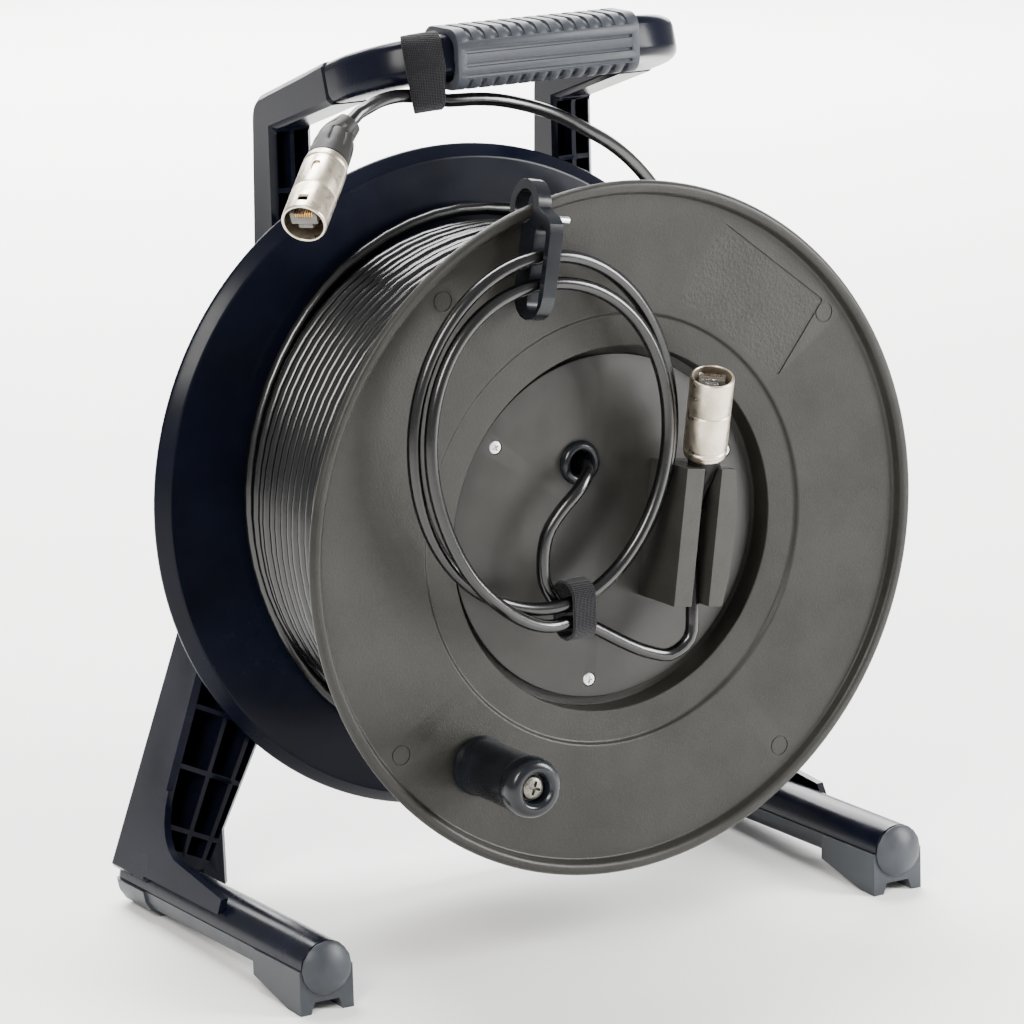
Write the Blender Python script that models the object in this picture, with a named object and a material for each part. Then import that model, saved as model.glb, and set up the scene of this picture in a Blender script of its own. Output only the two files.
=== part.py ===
"""Cable reel on a leaning one-sided stand, wound with network cable.

Everything is modelled in the drum's own frame: the origin is where the drum
axis crosses the plane of the front rim, +X is right, +Y runs back along the
axis and +Z is up. The whole frame then leans back with the stand.
"""

import math

import bmesh
import bpy
from mathutils import Matrix, Vector

MM = 0.001

# Fits
GAP = 0.3 * MM
CABLE_GAP = 0.45 * MM

# Drum
FLANGE_RADIUS = 155.0 * MM
RIM_DEPTH = 4.0 * MM
RIM_WIDTH = 5.5 * MM
WEB_SETBACK = 5.0 * MM
WEB_THICKNESS = 3.0 * MM
DRUM_LENGTH = 149.4 * MM
STEP_RADIUS = 96.5 * MM
STEP_DEPTH = 1.8 * MM
RECESS_RADIUS = 81.5 * MM
BARREL_RADIUS = 92.0 * MM
BARREL_WALL = 3.0 * MM
DRUM_FACETS = 32
DRUM_TURN = math.radians(8.0)
EJECTOR_RADIUS = 4.5 * MM
EJECTOR_PLACE_RADIUS = 140.0 * MM
EJECTOR_DEPTH = 0.4 * MM

# Connector plate and what is fixed on it
PLATE_RADIUS = 77.0 * MM
PLATE_THICKNESS = 3.0 * MM
PLATE_FRONT = 15.0 * MM
SCREW_PLACE_RADIUS = 69.0 * MM
SCREW_ANGLES = (30.0, 150.0, -90.0)
SCREW_HEAD_RADIUS = 2.9 * MM
SCREW_SHANK_RADIUS = 1.5 * MM
SCREW_LENGTH = 9.0 * MM
GROMMET_PLACE_RADIUS = 32.7 * MM
GROMMET_ANGLE = 120.0
GROMMET_RADIUS = 10.0 * MM
GROMMET_BORE = 5.5 * MM
GROMMET_NECK = 8.0 * MM
HOLDER_X = 34.9 * MM
HOLDER_WIDTH = 27.4 * MM
HOLDER_HEIGHT = 61.5 * MM
HOLDER_FRONT = -15.0 * MM
HOLDER_SLOT = 9.0 * MM
HOLDER_SLOT_FLOOR = 7.0 * MM

# Axle and hub
AXLE_RADIUS = 8.0 * MM
AXLE_FRONT = 22.0 * MM
COLLAR_RADIUS = 11.8 * MM
HUB_OUTER = 17.0 * MM
HUB_SEAT = 12.3 * MM
HUB_THROAT = 10.0 * MM
BUSH_LENGTH = 14.5 * MM
NUT_WIDTH = 11.5 * MM
NUT_SEAT_DEPTH = 1.2 * MM
NUT_HEIGHT = 6.5 * MM
WASHER_THICKNESS = 2.0 * MM

# Crank
CRANK_PLACE_RADIUS = 120.0 * MM
CRANK_ANGLE = -120.0
KNOB_RADIUS = 13.5 * MM
KNOB_FRONT = -46.0 * MM
KNOB_RECESS_RADIUS = 7.4 * MM
KNOB_RECESS_FLOOR = -39.5 * MM
PIN_RADIUS = 4.0 * MM
PIN_HEAD_RADIUS = 9.0 * MM
PIN_HEAD_THICKNESS = 2.0 * MM
CRANK_HEAD_RADIUS = 5.4 * MM

# Cable
CLIP_X = -39.5 * MM
CLIP_INSET = 1.626 * MM
CLIP_TURN = math.radians(9.8)
CLIP_HALF = 3.3 * MM
CLIP_FRONT = -19.2 * MM
CLIP_LOW = -47.9 * MM
CLIP_EYE_OUTER = 11.8 * MM
CLIP_EYE_INNER = 7.6 * MM
CLIP_SLOT_RADIUS = 4.4 * MM
CLIP_SLOT_Y = -11.3 * MM
CLIP_PIN_RADIUS = 1.6 * MM
CABLE_RADIUS = 3.0 * MM
TURNS = 17
LOOP_POINTS = 24
WINDING_START = 14.6 * MM
WINDING_PITCH = 6.62 * MM
WINDING_RADIUS = 120.0 * MM
WINDING_FLAT_END = 60.0 * MM
WINDING_END_RADIUS = 113.0 * MM
WINDING_END_ANGLE = -96.0
LOOSE_EXTRA_POINTS = 6

# Stand
FRAME_FRONT = 154.0 * MM
FRAME_REAR_AT_AXIS = 182.0 * MM
FRAME_REAR_SLOPE = -0.0512
UPRIGHT_INNER = 63.5 * MM
UPRIGHT_OUTER = 85.0 * MM
LEG_BREAK_Z = 63.0 * MM
LEG_BOTTOM = -170.0 * MM
LEG_TOE = -179.0 * MM
LEG_OUTER_SLOPE = -0.3426
LEG_INNER_SLOPE = -0.506
LEG_INNER_AT = (103.3 * MM, -115.0 * MM)
WALL = 3.0 * MM
RIB = 2.2 * MM
BOSS_RADIUS = 2.5 * MM
ARM_SLOPE = math.radians(17.3)
ARM_HEIGHT = 19.4 * MM
BAR_Y = 65.5 * MM
BAR_Z = 206.6 * MM
BOW_SEAM_Y = 100.0 * MM
BOW_BEND = 27.0 * MM
GRIP_LENGTH = 93.0 * MM
GRIP_DEPTH = 30.0 * MM
GRIP_HEIGHT = 27.0 * MM

# Feet
FOOT_X = 150.8 * MM
FOOT_Z = -173.6 * MM
FOOT_RADIUS = 12.3 * MM
FOOT_CORE = 9.3 * MM
FOOT_FRONT = 8.0 * MM
FOOT_REAR = 190.0 * MM
SADDLE_REAR = 51.0 * MM
SADDLE_WIDTH = 26.4 * MM
SADDLE_DROP = 19.9 * MM
SADDLE_LEVEL_END = 16.0 * MM
HEEL_FRONT = 156.0 * MM
HEEL_DROP = 13.2 * MM
FOOT_SPAN = 160.0 * MM
FLOOR_TRIM = 0.5 * MM
LEAN = math.atan((SADDLE_DROP - HEEL_DROP) / FOOT_SPAN)

# Connectors
SHELL_RADIUS = 9.8 * MM
SHELL_LENGTH = 40.5 * MM
SHELL_BORE = 8.5 * MM
SHELL_MOUTH_DEPTH = 22.0 * MM
BOOT_LENGTH = 23.0 * MM

# Place of the drum frame over the floor
ORIGIN_BACK = -70.4 * MM


def clear_scene():
    """Remove every object."""
    for obj in list(bpy.data.objects):
        bpy.data.objects.remove(obj, do_unlink=True)


def finish(name, hex_colour, roughness, metallic=0.0):
    """Return a Principled material from an sRGB hex colour."""
    material = bpy.data.materials.new(name)
    material.use_nodes = True
    shader = material.node_tree.nodes["Principled BSDF"]
    channels = [int(hex_colour[i:i + 2], 16) / 255.0 for i in (0, 2, 4)]
    linear = [c / 12.92 if c <= 0.04045 else ((c + 0.055) / 1.055) ** 2.4 for c in channels]
    shader.inputs["Base Color"].default_value = (*linear, 1.0)
    shader.inputs["Roughness"].default_value = roughness
    shader.inputs["Metallic"].default_value = metallic
    material.diffuse_color = (*linear, 1.0)
    return material


def empty(name, parent=None, location=(0.0, 0.0, 0.0), rotation=(0.0, 0.0, 0.0)):
    """Add a frame that pieces are placed in."""
    obj = bpy.data.objects.new(name, None)
    obj.empty_display_size = 0.02
    bpy.context.collection.objects.link(obj)
    obj.parent = parent
    obj.location = location
    obj.rotation_euler = rotation
    return obj


def add_piece(name, bm, material, parent, location=(0.0, 0.0, 0.0), smooth=False):
    """Turn a bmesh into a named object, closed and facing outward."""
    bmesh.ops.remove_doubles(bm, verts=bm.verts, dist=0.00001)
    bmesh.ops.recalc_face_normals(bm, faces=bm.faces)
    mesh = bpy.data.meshes.new(name)
    bm.to_mesh(mesh)
    bm.free()
    if smooth:
        mesh.shade_smooth()
    obj = bpy.data.objects.new(name, mesh)
    bpy.context.collection.objects.link(obj)
    obj.parent = parent
    obj.location = location
    if material:
        mesh.materials.append(material)
    return obj


def boolean(obj, tool, operation="DIFFERENCE"):
    """Cut, join or intersect with a hidden tool object."""
    tool.hide_render = True
    tool.display_type = "WIRE"
    modifier = obj.modifiers.new(tool.name, "BOOLEAN")
    modifier.operation = operation
    modifier.solver = "EXACT"
    modifier.object = tool
    return modifier


def soften(obj, width, segments=1, angle=35.0):
    """Round the sharp edges."""
    modifier = obj.modifiers.new("soft_edges", "BEVEL")
    modifier.width = width
    modifier.segments = segments
    modifier.limit_method = "ANGLE"
    modifier.angle_limit = math.radians(angle)
    modifier.harden_normals = False
    return modifier


def lathe(profile, steps, bm=None, centre=(0.0, 0.0), closed=True):
    """Turn a profile of (radius, y) round a line along Y through centre (x, z)."""
    bm = bm or bmesh.new()
    axis_verts = {}
    rings = []
    for step in range(steps):
        angle = math.tau * step / steps
        ring = []
        for index, (radius, y) in enumerate(profile):
            if radius < 1e-9:
                if index not in axis_verts:
                    axis_verts[index] = bm.verts.new((centre[0], y, centre[1]))
                ring.append(axis_verts[index])
            else:
                x = centre[0] + radius * math.cos(angle)
                z = centre[1] + radius * math.sin(angle)
                ring.append(bm.verts.new((x, y, z)))
        rings.append(ring)
    last = len(profile) if closed else len(profile) - 1
    for step in range(steps):
        here = rings[step]
        there = rings[(step + 1) % steps]
        for index in range(last):
            after = (index + 1) % len(profile)
            corners = [here[index], here[after], there[after], there[index]]
            unique = list(dict.fromkeys(corners))
            if len(unique) > 2:
                bm.faces.new(unique)
    return bm


def prism(outline, start, end, axis="Y", bm=None):
    """Extrude an outline: (x, z) along Y, or (y, z) along X."""
    bm = bm or bmesh.new()
    ends = []
    for depth in (start, end):
        ring = []
        for first, second in outline:
            place = (first, depth, second) if axis == "Y" else (depth, first, second)
            ring.append(bm.verts.new(place))
        ends.append(ring)
    bm.faces.new(ends[0])
    bm.faces.new(list(reversed(ends[1])))
    count = len(outline)
    for index in range(count):
        after = (index + 1) % count
        bm.faces.new((ends[0][index], ends[1][index], ends[1][after], ends[0][after]))
    return bm


def box(low, high, bm=None):
    """Add an upright box between two corners."""
    outline = [(low[0], low[2]), (high[0], low[2]), (high[0], high[2]), (low[0], high[2])]
    return prism(outline, low[1], high[1], "Y", bm)


def arc(centre, radius, start, end, steps):
    """Return points of an arc, angles in degrees."""
    points = []
    for step in range(steps + 1):
        angle = math.radians(start + (end - start) * step / steps)
        points.append((centre[0] + radius * math.cos(angle), centre[1] + radius * math.sin(angle)))
    return points


def polar(radius, degrees):
    """Return (x, z) at an angle from +X toward +Z."""
    angle = math.radians(degrees)
    return (radius * math.cos(angle), radius * math.sin(angle))


def rounded_section(width, height, radius, steps=2):
    """Return a closed rounded rectangle about its own centre."""
    half_w = width / 2 - radius
    half_h = height / 2 - radius
    points = arc((half_w, half_h), radius, 0, 90, steps)
    points += arc((-half_w, half_h), radius, 90, 180, steps)
    points += arc((-half_w, -half_h), radius, 180, 270, steps)
    points += arc((half_w, -half_h), radius, 270, 360, steps)
    return points


def ring_frames(path, up):
    """Return side and up vectors square to the path at each of its points."""
    frames = []
    for index, point in enumerate(path):
        before = path[max(index - 1, 0)]
        after = path[min(index + 1, len(path) - 1)]
        tangent = (after - before).normalized()
        side = tangent.cross(up).normalized()
        frames.append((point, side, side.cross(tangent).normalized()))
    return frames


def sweep(path, section, up, scales=None, hollow=None, hollow_scales=None, bm=None):
    """Carry a closed section, or a section with a hole, along a path."""
    bm = bm or bmesh.new()
    path = [Vector(point) for point in path]
    scales = scales or [1.0] * len(path)
    loops = [(section, scales)]
    if hollow:
        loops.append((hollow, hollow_scales or [1.0] * len(path)))
    frames = ring_frames(path, Vector(up))
    skins = []
    for outline, sizes in loops:
        rings = []
        for (point, side, rise), size in zip(frames, sizes):
            ring = [bm.verts.new(point + side * (u * size) + rise * (v * size)) for u, v in outline]
            rings.append(ring)
        count = len(outline)
        for here, there in zip(rings, rings[1:]):
            for index in range(count):
                after = (index + 1) % count
                bm.faces.new((here[index], here[after], there[after], there[index]))
        skins.append(rings)
    if hollow:
        for end in (0, -1):
            outer = skins[0][end]
            inner = skins[1][end]
            count = len(outer)
            for index in range(count):
                after = (index + 1) % count
                bm.faces.new((outer[index], outer[after], inner[after], inner[index]))
    else:
        bm.faces.new(skins[0][0])
        bm.faces.new(list(reversed(skins[0][-1])))
    return bm


def circle(radius, steps):
    """Return a closed round section."""
    return arc((0.0, 0.0), radius, 0, 360, steps)[:-1]


def smooth_run(points, spacing):
    """Return evenly spaced points on a smooth curve through route points."""
    route = [Vector(point) for point in points]
    route = [route[0] * 2 - route[1]] + route + [route[-1] * 2 - route[-2]]
    dense = []
    for first, second, third, fourth in zip(route, route[1:], route[2:], route[3:]):
        knots = [0.0]
        for one, two in ((first, second), (second, third), (third, fourth)):
            knots.append(knots[-1] + max((two - one).length, 1e-6) ** 0.5)
        for step in range(24):
            t = knots[1] + (knots[2] - knots[1]) * step / 24
            a1 = first.lerp(second, (t - knots[0]) / (knots[1] - knots[0]))
            a2 = second.lerp(third, (t - knots[1]) / (knots[2] - knots[1]))
            a3 = third.lerp(fourth, (t - knots[2]) / (knots[3] - knots[2]))
            b1 = a1.lerp(a2, (t - knots[0]) / (knots[2] - knots[0]))
            b2 = a2.lerp(a3, (t - knots[1]) / (knots[3] - knots[1]))
            dense.append(b1.lerp(b2, (t - knots[1]) / (knots[2] - knots[1])))
    dense.append(route[-2])
    lengths = [0.0]
    for here, there in zip(dense, dense[1:]):
        lengths.append(lengths[-1] + (there - here).length)
    count = max(2, round(lengths[-1] / spacing))
    result = []
    index = 0
    for step in range(count + 1):
        target = lengths[-1] * step / count
        while index < len(dense) - 2 and lengths[index + 1] < target:
            index += 1
        span = max(lengths[index + 1] - lengths[index], 1e-9)
        result.append(dense[index].lerp(dense[index + 1], (target - lengths[index]) / span))
    return result


def cable_tube(name, points, material, parent, resolution):
    """Add a cable stretch as one closed round tube."""
    curve = bpy.data.curves.new(name, "CURVE")
    curve.dimensions = "3D"
    curve.bevel_depth = CABLE_RADIUS
    curve.bevel_resolution = resolution
    curve.use_fill_caps = True
    spline = curve.splines.new("POLY")
    spline.points.add(len(points) - 1)
    for target, point in zip(spline.points, points):
        target.co = (*point, 1.0)
    curve.materials.append(material)
    obj = bpy.data.objects.new(name, curve)
    bpy.context.collection.objects.link(obj)
    obj.parent = parent
    return obj


def segment_gap(a, b, c, d):
    """Return the least distance between two short straight stretches."""
    best = 1.0
    for first, second, point in ((a, b, c), (a, b, d), (c, d, a), (c, d, b)):
        line = second - first
        share = max(0.0, min(1.0, (point - first).dot(line) / line.length_squared))
        best = min(best, (first + line * share - point).length)
    return best


def least_gap(points, skip):
    """Return the least clear gap between stretches that are not neighbours."""
    best = 1.0
    for index in range(len(points) - 1):
        for other in range(index + skip, len(points) - 1):
            if (points[index] - points[other]).length < best + 0.03:
                gap = segment_gap(points[index], points[index + 1], points[other], points[other + 1])
                best = min(best, gap)
    return best - 2 * CABLE_RADIUS


def leg_outer_x(z):
    """Return the leg's outer edge at a height."""
    return UPRIGHT_OUTER + LEG_OUTER_SLOPE * (z - LEG_BREAK_Z)


def leg_inner_x(z):
    """Return the leg's inner edge at a height."""
    return LEG_INNER_AT[0] + LEG_INNER_SLOPE * (z - LEG_INNER_AT[1])


def frame_rear_y(z):
    """Return the frame's rear surface at a height."""
    return FRAME_REAR_AT_AXIS + FRAME_REAR_SLOPE * z


def arm_centre_z(y):
    """Return the height of the arm's centreline."""
    return BAR_Z - math.tan(ARM_SLOPE) * (y - BAR_Y)


def crossing(first, second):
    """Return where two lines (point, direction) cross."""
    (px, pz), (dx, dz) = first
    (qx, qz), (ex, ez) = second
    scale = dx * ez - dz * ex
    share = ((qx - px) * ez - (qz - pz) * ex) / scale
    return (px + dx * share, pz + dz * share)


def cell(lines):
    """Return the corners of a cell from its four border lines in turn."""
    return [crossing(lines[index], lines[(index + 1) % 4]) for index in range(4)]


def shifted(line, offset):
    """Return a line moved sideways, to the left of its direction."""
    (px, pz), (dx, dz) = line
    length = math.hypot(dx, dz)
    return ((px - dz / length * offset, pz + dx / length * offset), (dx, dz))


def leg_pockets(side):
    """Return pocket outlines and rib crossings of one leg."""
    inner = (LEG_INNER_AT, (-LEG_INNER_SLOPE, -1.0))
    first = ((129.7 * MM, -154.2 * MM), (0.469, -1.0))
    second = ((140.0 * MM, -149.5 * MM), (0.399, -1.0))
    outer = ((UPRIGHT_OUTER, LEG_BREAK_Z), (-LEG_OUTER_SLOPE, -1.0))
    columns = [inner, first, second, outer]
    along = Vector((-0.42, 0.907)).normalized()
    across = (along.y, -along.x)
    start = Vector((129.7 * MM, -154.2 * MM))
    rows = []
    for number in (0, 1, 2, 3, 5):
        centre = start + along * (28.0 * MM * number)
        rows.append(((centre.x, centre.y), across))
    floor_line = ((130.0 * MM, LEG_BOTTOM + 4.0 * MM), across)
    rows.insert(0, floor_line)
    pockets = []
    for low, high in zip(rows, rows[1:]):
        for index in range(3):
            left_wall = RIB if index == 0 else RIB / 2
            right_wall = WALL if index == 2 else RIB / 2
            lines = [
                shifted(columns[index], left_wall),
                shifted(low, RIB / 2),
                shifted(columns[index + 1], -right_wall),
                shifted(high, -RIB / 2),
            ]
            pockets.append([(side * x, z) for x, z in cell(lines)])
    bosses = []
    for row in rows[1:4]:
        for column in (first, second):
            x, z = crossing(column, row)
            bosses.append((side * x, z))
    return pockets, bosses


def upright_pockets(side):
    """Return pocket outlines and rib crossings of one upright."""
    middle = (UPRIGHT_INNER + UPRIGHT_OUTER) / 2
    levels = [57.0 * MM, 99.0 * MM, 141.0 * MM, 171.0 * MM]
    pockets = []
    for low, high in zip(levels, levels[1:]):
        for left, right in ((UPRIGHT_INNER + RIB, middle - RIB / 2), (middle + RIB / 2, UPRIGHT_OUTER - WALL)):
            bottom = low + RIB / 2
            top = high - RIB / 2
            outline = [(left, bottom), (right, bottom), (right, top), (left, top)]
            pockets.append([(side * x, z) for x, z in outline])
    bosses = [(side * middle, levels[2])]
    return pockets, bosses


def side_silhouette():
    """Return the frame's outline seen from the side, as (y, z)."""
    half = ARM_HEIGHT / 2 / math.cos(ARM_SLOPE)
    seam = BOW_SEAM_Y + GAP * 1.5
    lean_y = math.sin(ARM_SLOPE) * ARM_HEIGHT / 2
    rise = math.cos(ARM_SLOPE) * ARM_HEIGHT / 2
    corner = Vector((frame_rear_y(170.0 * MM), arm_centre_z(165.0 * MM) + half))
    outline = [
        (seam - lean_y, arm_centre_z(seam) - rise),
        (FRAME_FRONT, arm_centre_z(FRAME_FRONT) - half),
        (FRAME_FRONT, LEG_TOE),
        (frame_rear_y(LEG_TOE), LEG_TOE),
    ]
    outline += arc((corner.x - 12.0 * MM, corner.y - 13.5 * MM), 12.0 * MM, 0, 75, 5)
    outline.append((seam + lean_y, arm_centre_z(seam) + rise))
    return outline


def front_silhouette():
    """Return the frame's outline seen from the front, as (x, z)."""
    tall = 240.0 * MM
    toe_end = FOOT_X - HEEL_DROP - FLOOR_TRIM - 2 * GAP
    right = [
        (121.0 * MM, LEG_TOE),
        (toe_end - 2.0 * MM, LEG_TOE),
        (toe_end, LEG_TOE + 4.0 * MM),
        (toe_end, LEG_BOTTOM),
        (leg_outer_x(LEG_BOTTOM), LEG_BOTTOM),
        (UPRIGHT_OUTER, LEG_BREAK_Z),
        (UPRIGHT_OUTER, tall),
        (UPRIGHT_INNER, tall),
    ]
    right += arc((UPRIGHT_INNER - 20.0 * MM, 62.0 * MM), 20.0 * MM, 0, -90, 4)
    left = [(-x, z) for x, z in reversed(right)]
    arch = [
        (-121.5 * MM, -151.0 * MM),
        (-leg_inner_x(-60.0 * MM), -60.0 * MM),
    ]
    arch += arc((0.0, -110.0 * MM), 68.0 * MM, 140, 40, 8)
    arch += [
        (leg_inner_x(-60.0 * MM), -60.0 * MM),
        (121.5 * MM, -151.0 * MM),
    ]
    return right + left + arch


def foot_plate(side):
    """Return the outer wall's forward run along the foot."""
    levels = (-128.0 * MM, -166.5 * MM)
    front = [
        (side * leg_outer_x(levels[0]), levels[0]),
        (side * leg_outer_x(levels[1]), levels[1]),
        (side * (leg_outer_x(levels[1]) - 3.4 * MM), levels[1]),
        (side * (leg_outer_x(levels[0]) - 3.4 * MM), levels[0]),
    ]
    profile = [
        (160.0 * MM, -128.0 * MM),
        (160.0 * MM, -166.5 * MM),
        (84.0 * MM, -166.5 * MM),
        (84.0 * MM, -160.0 * MM),
    ]
    profile += arc((127.0 * MM, -128.0 * MM), 27.0 * MM, -90, 0, 6)
    return front, profile


def build_frame(parent, material):
    """Add the moulded stand frame with its ribbed uprights and legs."""
    obj = add_piece("rear_frame", prism(front_silhouette(), 90.0 * MM, 210.0 * MM), material, parent)
    side = add_piece("cut_frame_side", prism(side_silhouette(), -0.2, 0.2, "X"), None, parent)
    boolean(obj, side, "INTERSECT")
    soften(obj, 2.4 * MM, 1, 40.0)
    for sign in (-1.0, 1.0):
        front, profile = foot_plate(sign)
        body = add_piece("add_plate", prism(front, 70.0 * MM, 170.0 * MM), None, parent)
        trim = add_piece("cut_plate", prism(profile, -0.2, 0.2, "X"), None, parent)
        boolean(body, trim, "INTERSECT")
        boolean(obj, body, "UNION")
    pockets = bmesh.new()
    bosses = bmesh.new()
    for sign in (-1.0, 1.0):
        for outlines, crossings in (leg_pockets(sign), upright_pockets(sign)):
            for outline in outlines:
                middle = sum(z for _, z in outline) / len(outline)
                prism(outline, FRAME_FRONT - 1.0 * MM, frame_rear_y(middle) - WALL - 1.0 * MM, "Y", pockets)
            for x, z in crossings:
                lathe([(0.0, FRAME_FRONT + 0.4 * MM), (BOSS_RADIUS, FRAME_FRONT + 0.4 * MM),
                       (BOSS_RADIUS, frame_rear_y(z) - WALL), (0.0, frame_rear_y(z) - WALL)],
                      6, bosses, (x, z), closed=False)
    ring = [(20.0 * MM, 153.0 * MM), (34.0 * MM, 153.0 * MM), (34.0 * MM, 176.0 * MM), (20.0 * MM, 176.0 * MM)]
    boolean(obj, add_piece("cut_pockets", pockets, None, parent))
    boolean(obj, add_piece("add_bosses", bosses, None, parent), "UNION")
    tools = lathe(ring, 20)
    boolean(obj, add_piece("cut_hub_ring", tools, None, parent))
    seat = bmesh.new()
    bores = lathe([(0.0, 140.0 * MM), (AXLE_RADIUS + GAP, 140.0 * MM), (AXLE_RADIUS + GAP, 220.0 * MM),
                   (0.0, 220.0 * MM)], 24, closed=False)
    lathe([(0.0, FRAME_REAR_AT_AXIS - NUT_SEAT_DEPTH), (18.0 * MM, FRAME_REAR_AT_AXIS - NUT_SEAT_DEPTH),
           (18.0 * MM, 220.0 * MM), (0.0, 220.0 * MM)], 24, seat, closed=False)
    boolean(obj, add_piece("cut_nut_seat", seat, None, parent))
    for sign in (-1.0, 1.0):
        reach = FOOT_RADIUS + GAP
        lathe([(0.0, 60.0 * MM), (reach, 60.0 * MM), (reach, 220.0 * MM), (0.0, 220.0 * MM)],
              24, bores, (sign * FOOT_X, FOOT_Z), closed=False)
    boolean(obj, add_piece("cut_bores", bores, None, parent))
    return obj


def bow_path(extra=0.0, low=-1.0, high=1.0):
    """Return the bow's centreline from the left seam to the right seam."""
    arm_x = (UPRIGHT_INNER + UPRIGHT_OUTER) / 2
    flat = [(-arm_x, BOW_SEAM_Y)]
    flat += [(x, y) for x, y in arc((-arm_x + BOW_BEND, BAR_Y + BOW_BEND), BOW_BEND, 180, 270, 6)]
    flat += [(x, y) for x, y in arc((arm_x - BOW_BEND, BAR_Y + BOW_BEND), BOW_BEND, 270, 360, 6)]
    flat += [(arm_x, BOW_SEAM_Y)]
    return [Vector((x, y, arm_centre_z(y))) for x, y in flat]


def build_handle(parent, shell, rubber):
    """Add the bow and its grip."""
    up = (0.0, math.sin(ARM_SLOPE), math.cos(ARM_SLOPE))
    section = rounded_section(21.5 * MM, 19.0 * MM, 5.0 * MM, 2)
    add_piece("handle_bow", sweep(bow_path(), section, up), shell, parent, smooth=True)
    half = GRIP_LENGTH / 2
    path = [(-half, BAR_Y, BAR_Z), (half, BAR_Y, BAR_Z)]
    outer = rounded_section(GRIP_DEPTH, GRIP_HEIGHT, 6.0 * MM, 2)
    hole = rounded_section(21.5 * MM + 2 * GAP, 19.0 * MM + 2 * GAP, 5.0 * MM + GAP, 2)
    add_piece("handle_grip", sweep(path, outer, up, hollow=hole), rubber, parent)


def half_disc(radius, lower, steps=10):
    """Return a half circle with its flat side a hair off the seam."""
    seam = -GAP / 2 if lower else GAP / 2
    start, end = (180, 360) if lower else (0, 180)
    points = arc((0.0, seam), radius, start, end, steps)
    return points


def foot_end_scales(stations):
    """Return how far each station of the foot is drawn in at the rounded rear."""
    scales = []
    for y in stations:
        past = max(0.0, y - (FOOT_REAR - 8.0 * MM)) / (8.0 * MM)
        scales.append(math.sqrt(max(0.12, 1.0 - past * past)))
    return scales


def build_foot(side, word, parent, beam_finish, shoe_finish):
    """Add one foot: its beam, its shoe and its end cap."""
    x = side * FOOT_X
    stations = [FOOT_FRONT, 100.0 * MM, 182.0 * MM, 185.0 * MM, 188.0 * MM, FOOT_REAR]
    path = [(x, y, FOOT_Z) for y in stations]
    scales = foot_end_scales(stations)
    upper = half_disc(FOOT_RADIUS, lower=False)
    core = arc((0.0, 0.0), FOOT_CORE, 180, 360, 6)
    section = upper + [(-FOOT_CORE, GAP / 2)] + core[1:-1] + [(FOOT_CORE, GAP / 2)]
    beam = add_piece("foot_beam_" + word, sweep(path, section, (0.0, 0.0, 1.0), scales), beam_finish, parent)
    bore = lathe([(0.0, 0.0), (5.3 * MM, 0.0), (5.3 * MM, 24.3 * MM), (0.0, 24.3 * MM)], 16, None,
                 (x, FOOT_Z), closed=False)
    boolean(beam, add_piece("cut_cap_bore_" + word, bore, None, parent))

    inner = FOOT_CORE + 2 * GAP
    lower = arc((0.0, -GAP / 2), FOOT_RADIUS, 180, 360, 8)
    back = arc((0.0, -GAP / 2), inner, 360, 180, 6)
    shoe = add_piece("foot_shoe_" + word, sweep(path, lower + back, (0.0, 0.0, 1.0), scales), shoe_finish, parent)
    half = SADDLE_WIDTH / 2
    rise = SADDLE_DROP + FLOOR_TRIM
    front = [(x - half, FOOT_Z - GAP / 2), (x - half, FOOT_Z - rise), (x - 8.0 * MM, FOOT_Z - rise),
             (x - 6.0 * MM, FOOT_Z - rise + 5.6 * MM), (x + 6.0 * MM, FOOT_Z - rise + 5.6 * MM),
             (x + 8.0 * MM, FOOT_Z - rise), (x + half, FOOT_Z - rise), (x + half, FOOT_Z - GAP / 2)]
    front += [(x + px, FOOT_Z + pz) for px, pz in arc((0.0, -GAP / 2), inner, 360, 180, 6)]
    saddle = add_piece("add_saddle_" + word, prism(front, FOOT_FRONT, SADDLE_REAR), None, parent)
    slope = [(FOOT_FRONT - 1.0 * MM, FOOT_Z + 5.0 * MM), (FOOT_FRONT - 1.0 * MM, FOOT_Z - rise),
             (SADDLE_LEVEL_END, FOOT_Z - rise), (SADDLE_REAR + 1.0 * MM, FOOT_Z - 11.7 * MM),
             (SADDLE_REAR + 1.0 * MM, FOOT_Z + 5.0 * MM)]
    trim = add_piece("cut_saddle_" + word, prism(slope, x - 0.03, x + 0.03, "X"), None, parent)
    boolean(saddle, trim, "INTERSECT")
    boolean(shoe, saddle, "UNION")
    heel_stations = [HEEL_FRONT, *stations[2:]]
    heel_path = [(x, y, FOOT_Z) for y in heel_stations]
    heel_outer = arc((0.0, -GAP / 2), HEEL_DROP + FLOOR_TRIM, 180, 360, 8)
    heel = add_piece("add_heel_" + word,
                     sweep(heel_path, heel_outer + back, (0.0, 0.0, 1.0), foot_end_scales(heel_stations)), None, parent)
    boolean(shoe, heel, "UNION")

    tilt = math.tan(LEAN)
    level = FOOT_Z - SADDLE_DROP
    near = level + (0.0 - 12.0 * MM) * tilt
    far = level + (0.21 - 12.0 * MM) * tilt
    ground = [(0.0, near), (0.0, near - 0.02), (0.21, near - 0.02), (0.21, far)]
    floor = add_piece("cut_floor_" + word, prism(ground, x - 0.03, x + 0.03, "X"), None, parent)
    boolean(shoe, floor)

    dome = [(0.0, 2.4 * MM), (4.0 * MM, 2.7 * MM), (8.0 * MM, 3.9 * MM), (10.8 * MM, 5.6 * MM),
            (12.2 * MM, 7.0 * MM), (12.2 * MM, FOOT_FRONT - GAP), (5.0 * MM, FOOT_FRONT - GAP),
            (5.0 * MM, 23.0 * MM), (0.0, 23.0 * MM)]
    add_piece("foot_cap_" + word, lathe(dome, 16, None, (x, FOOT_Z), closed=False), shoe_finish, parent, smooth=True)


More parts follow.
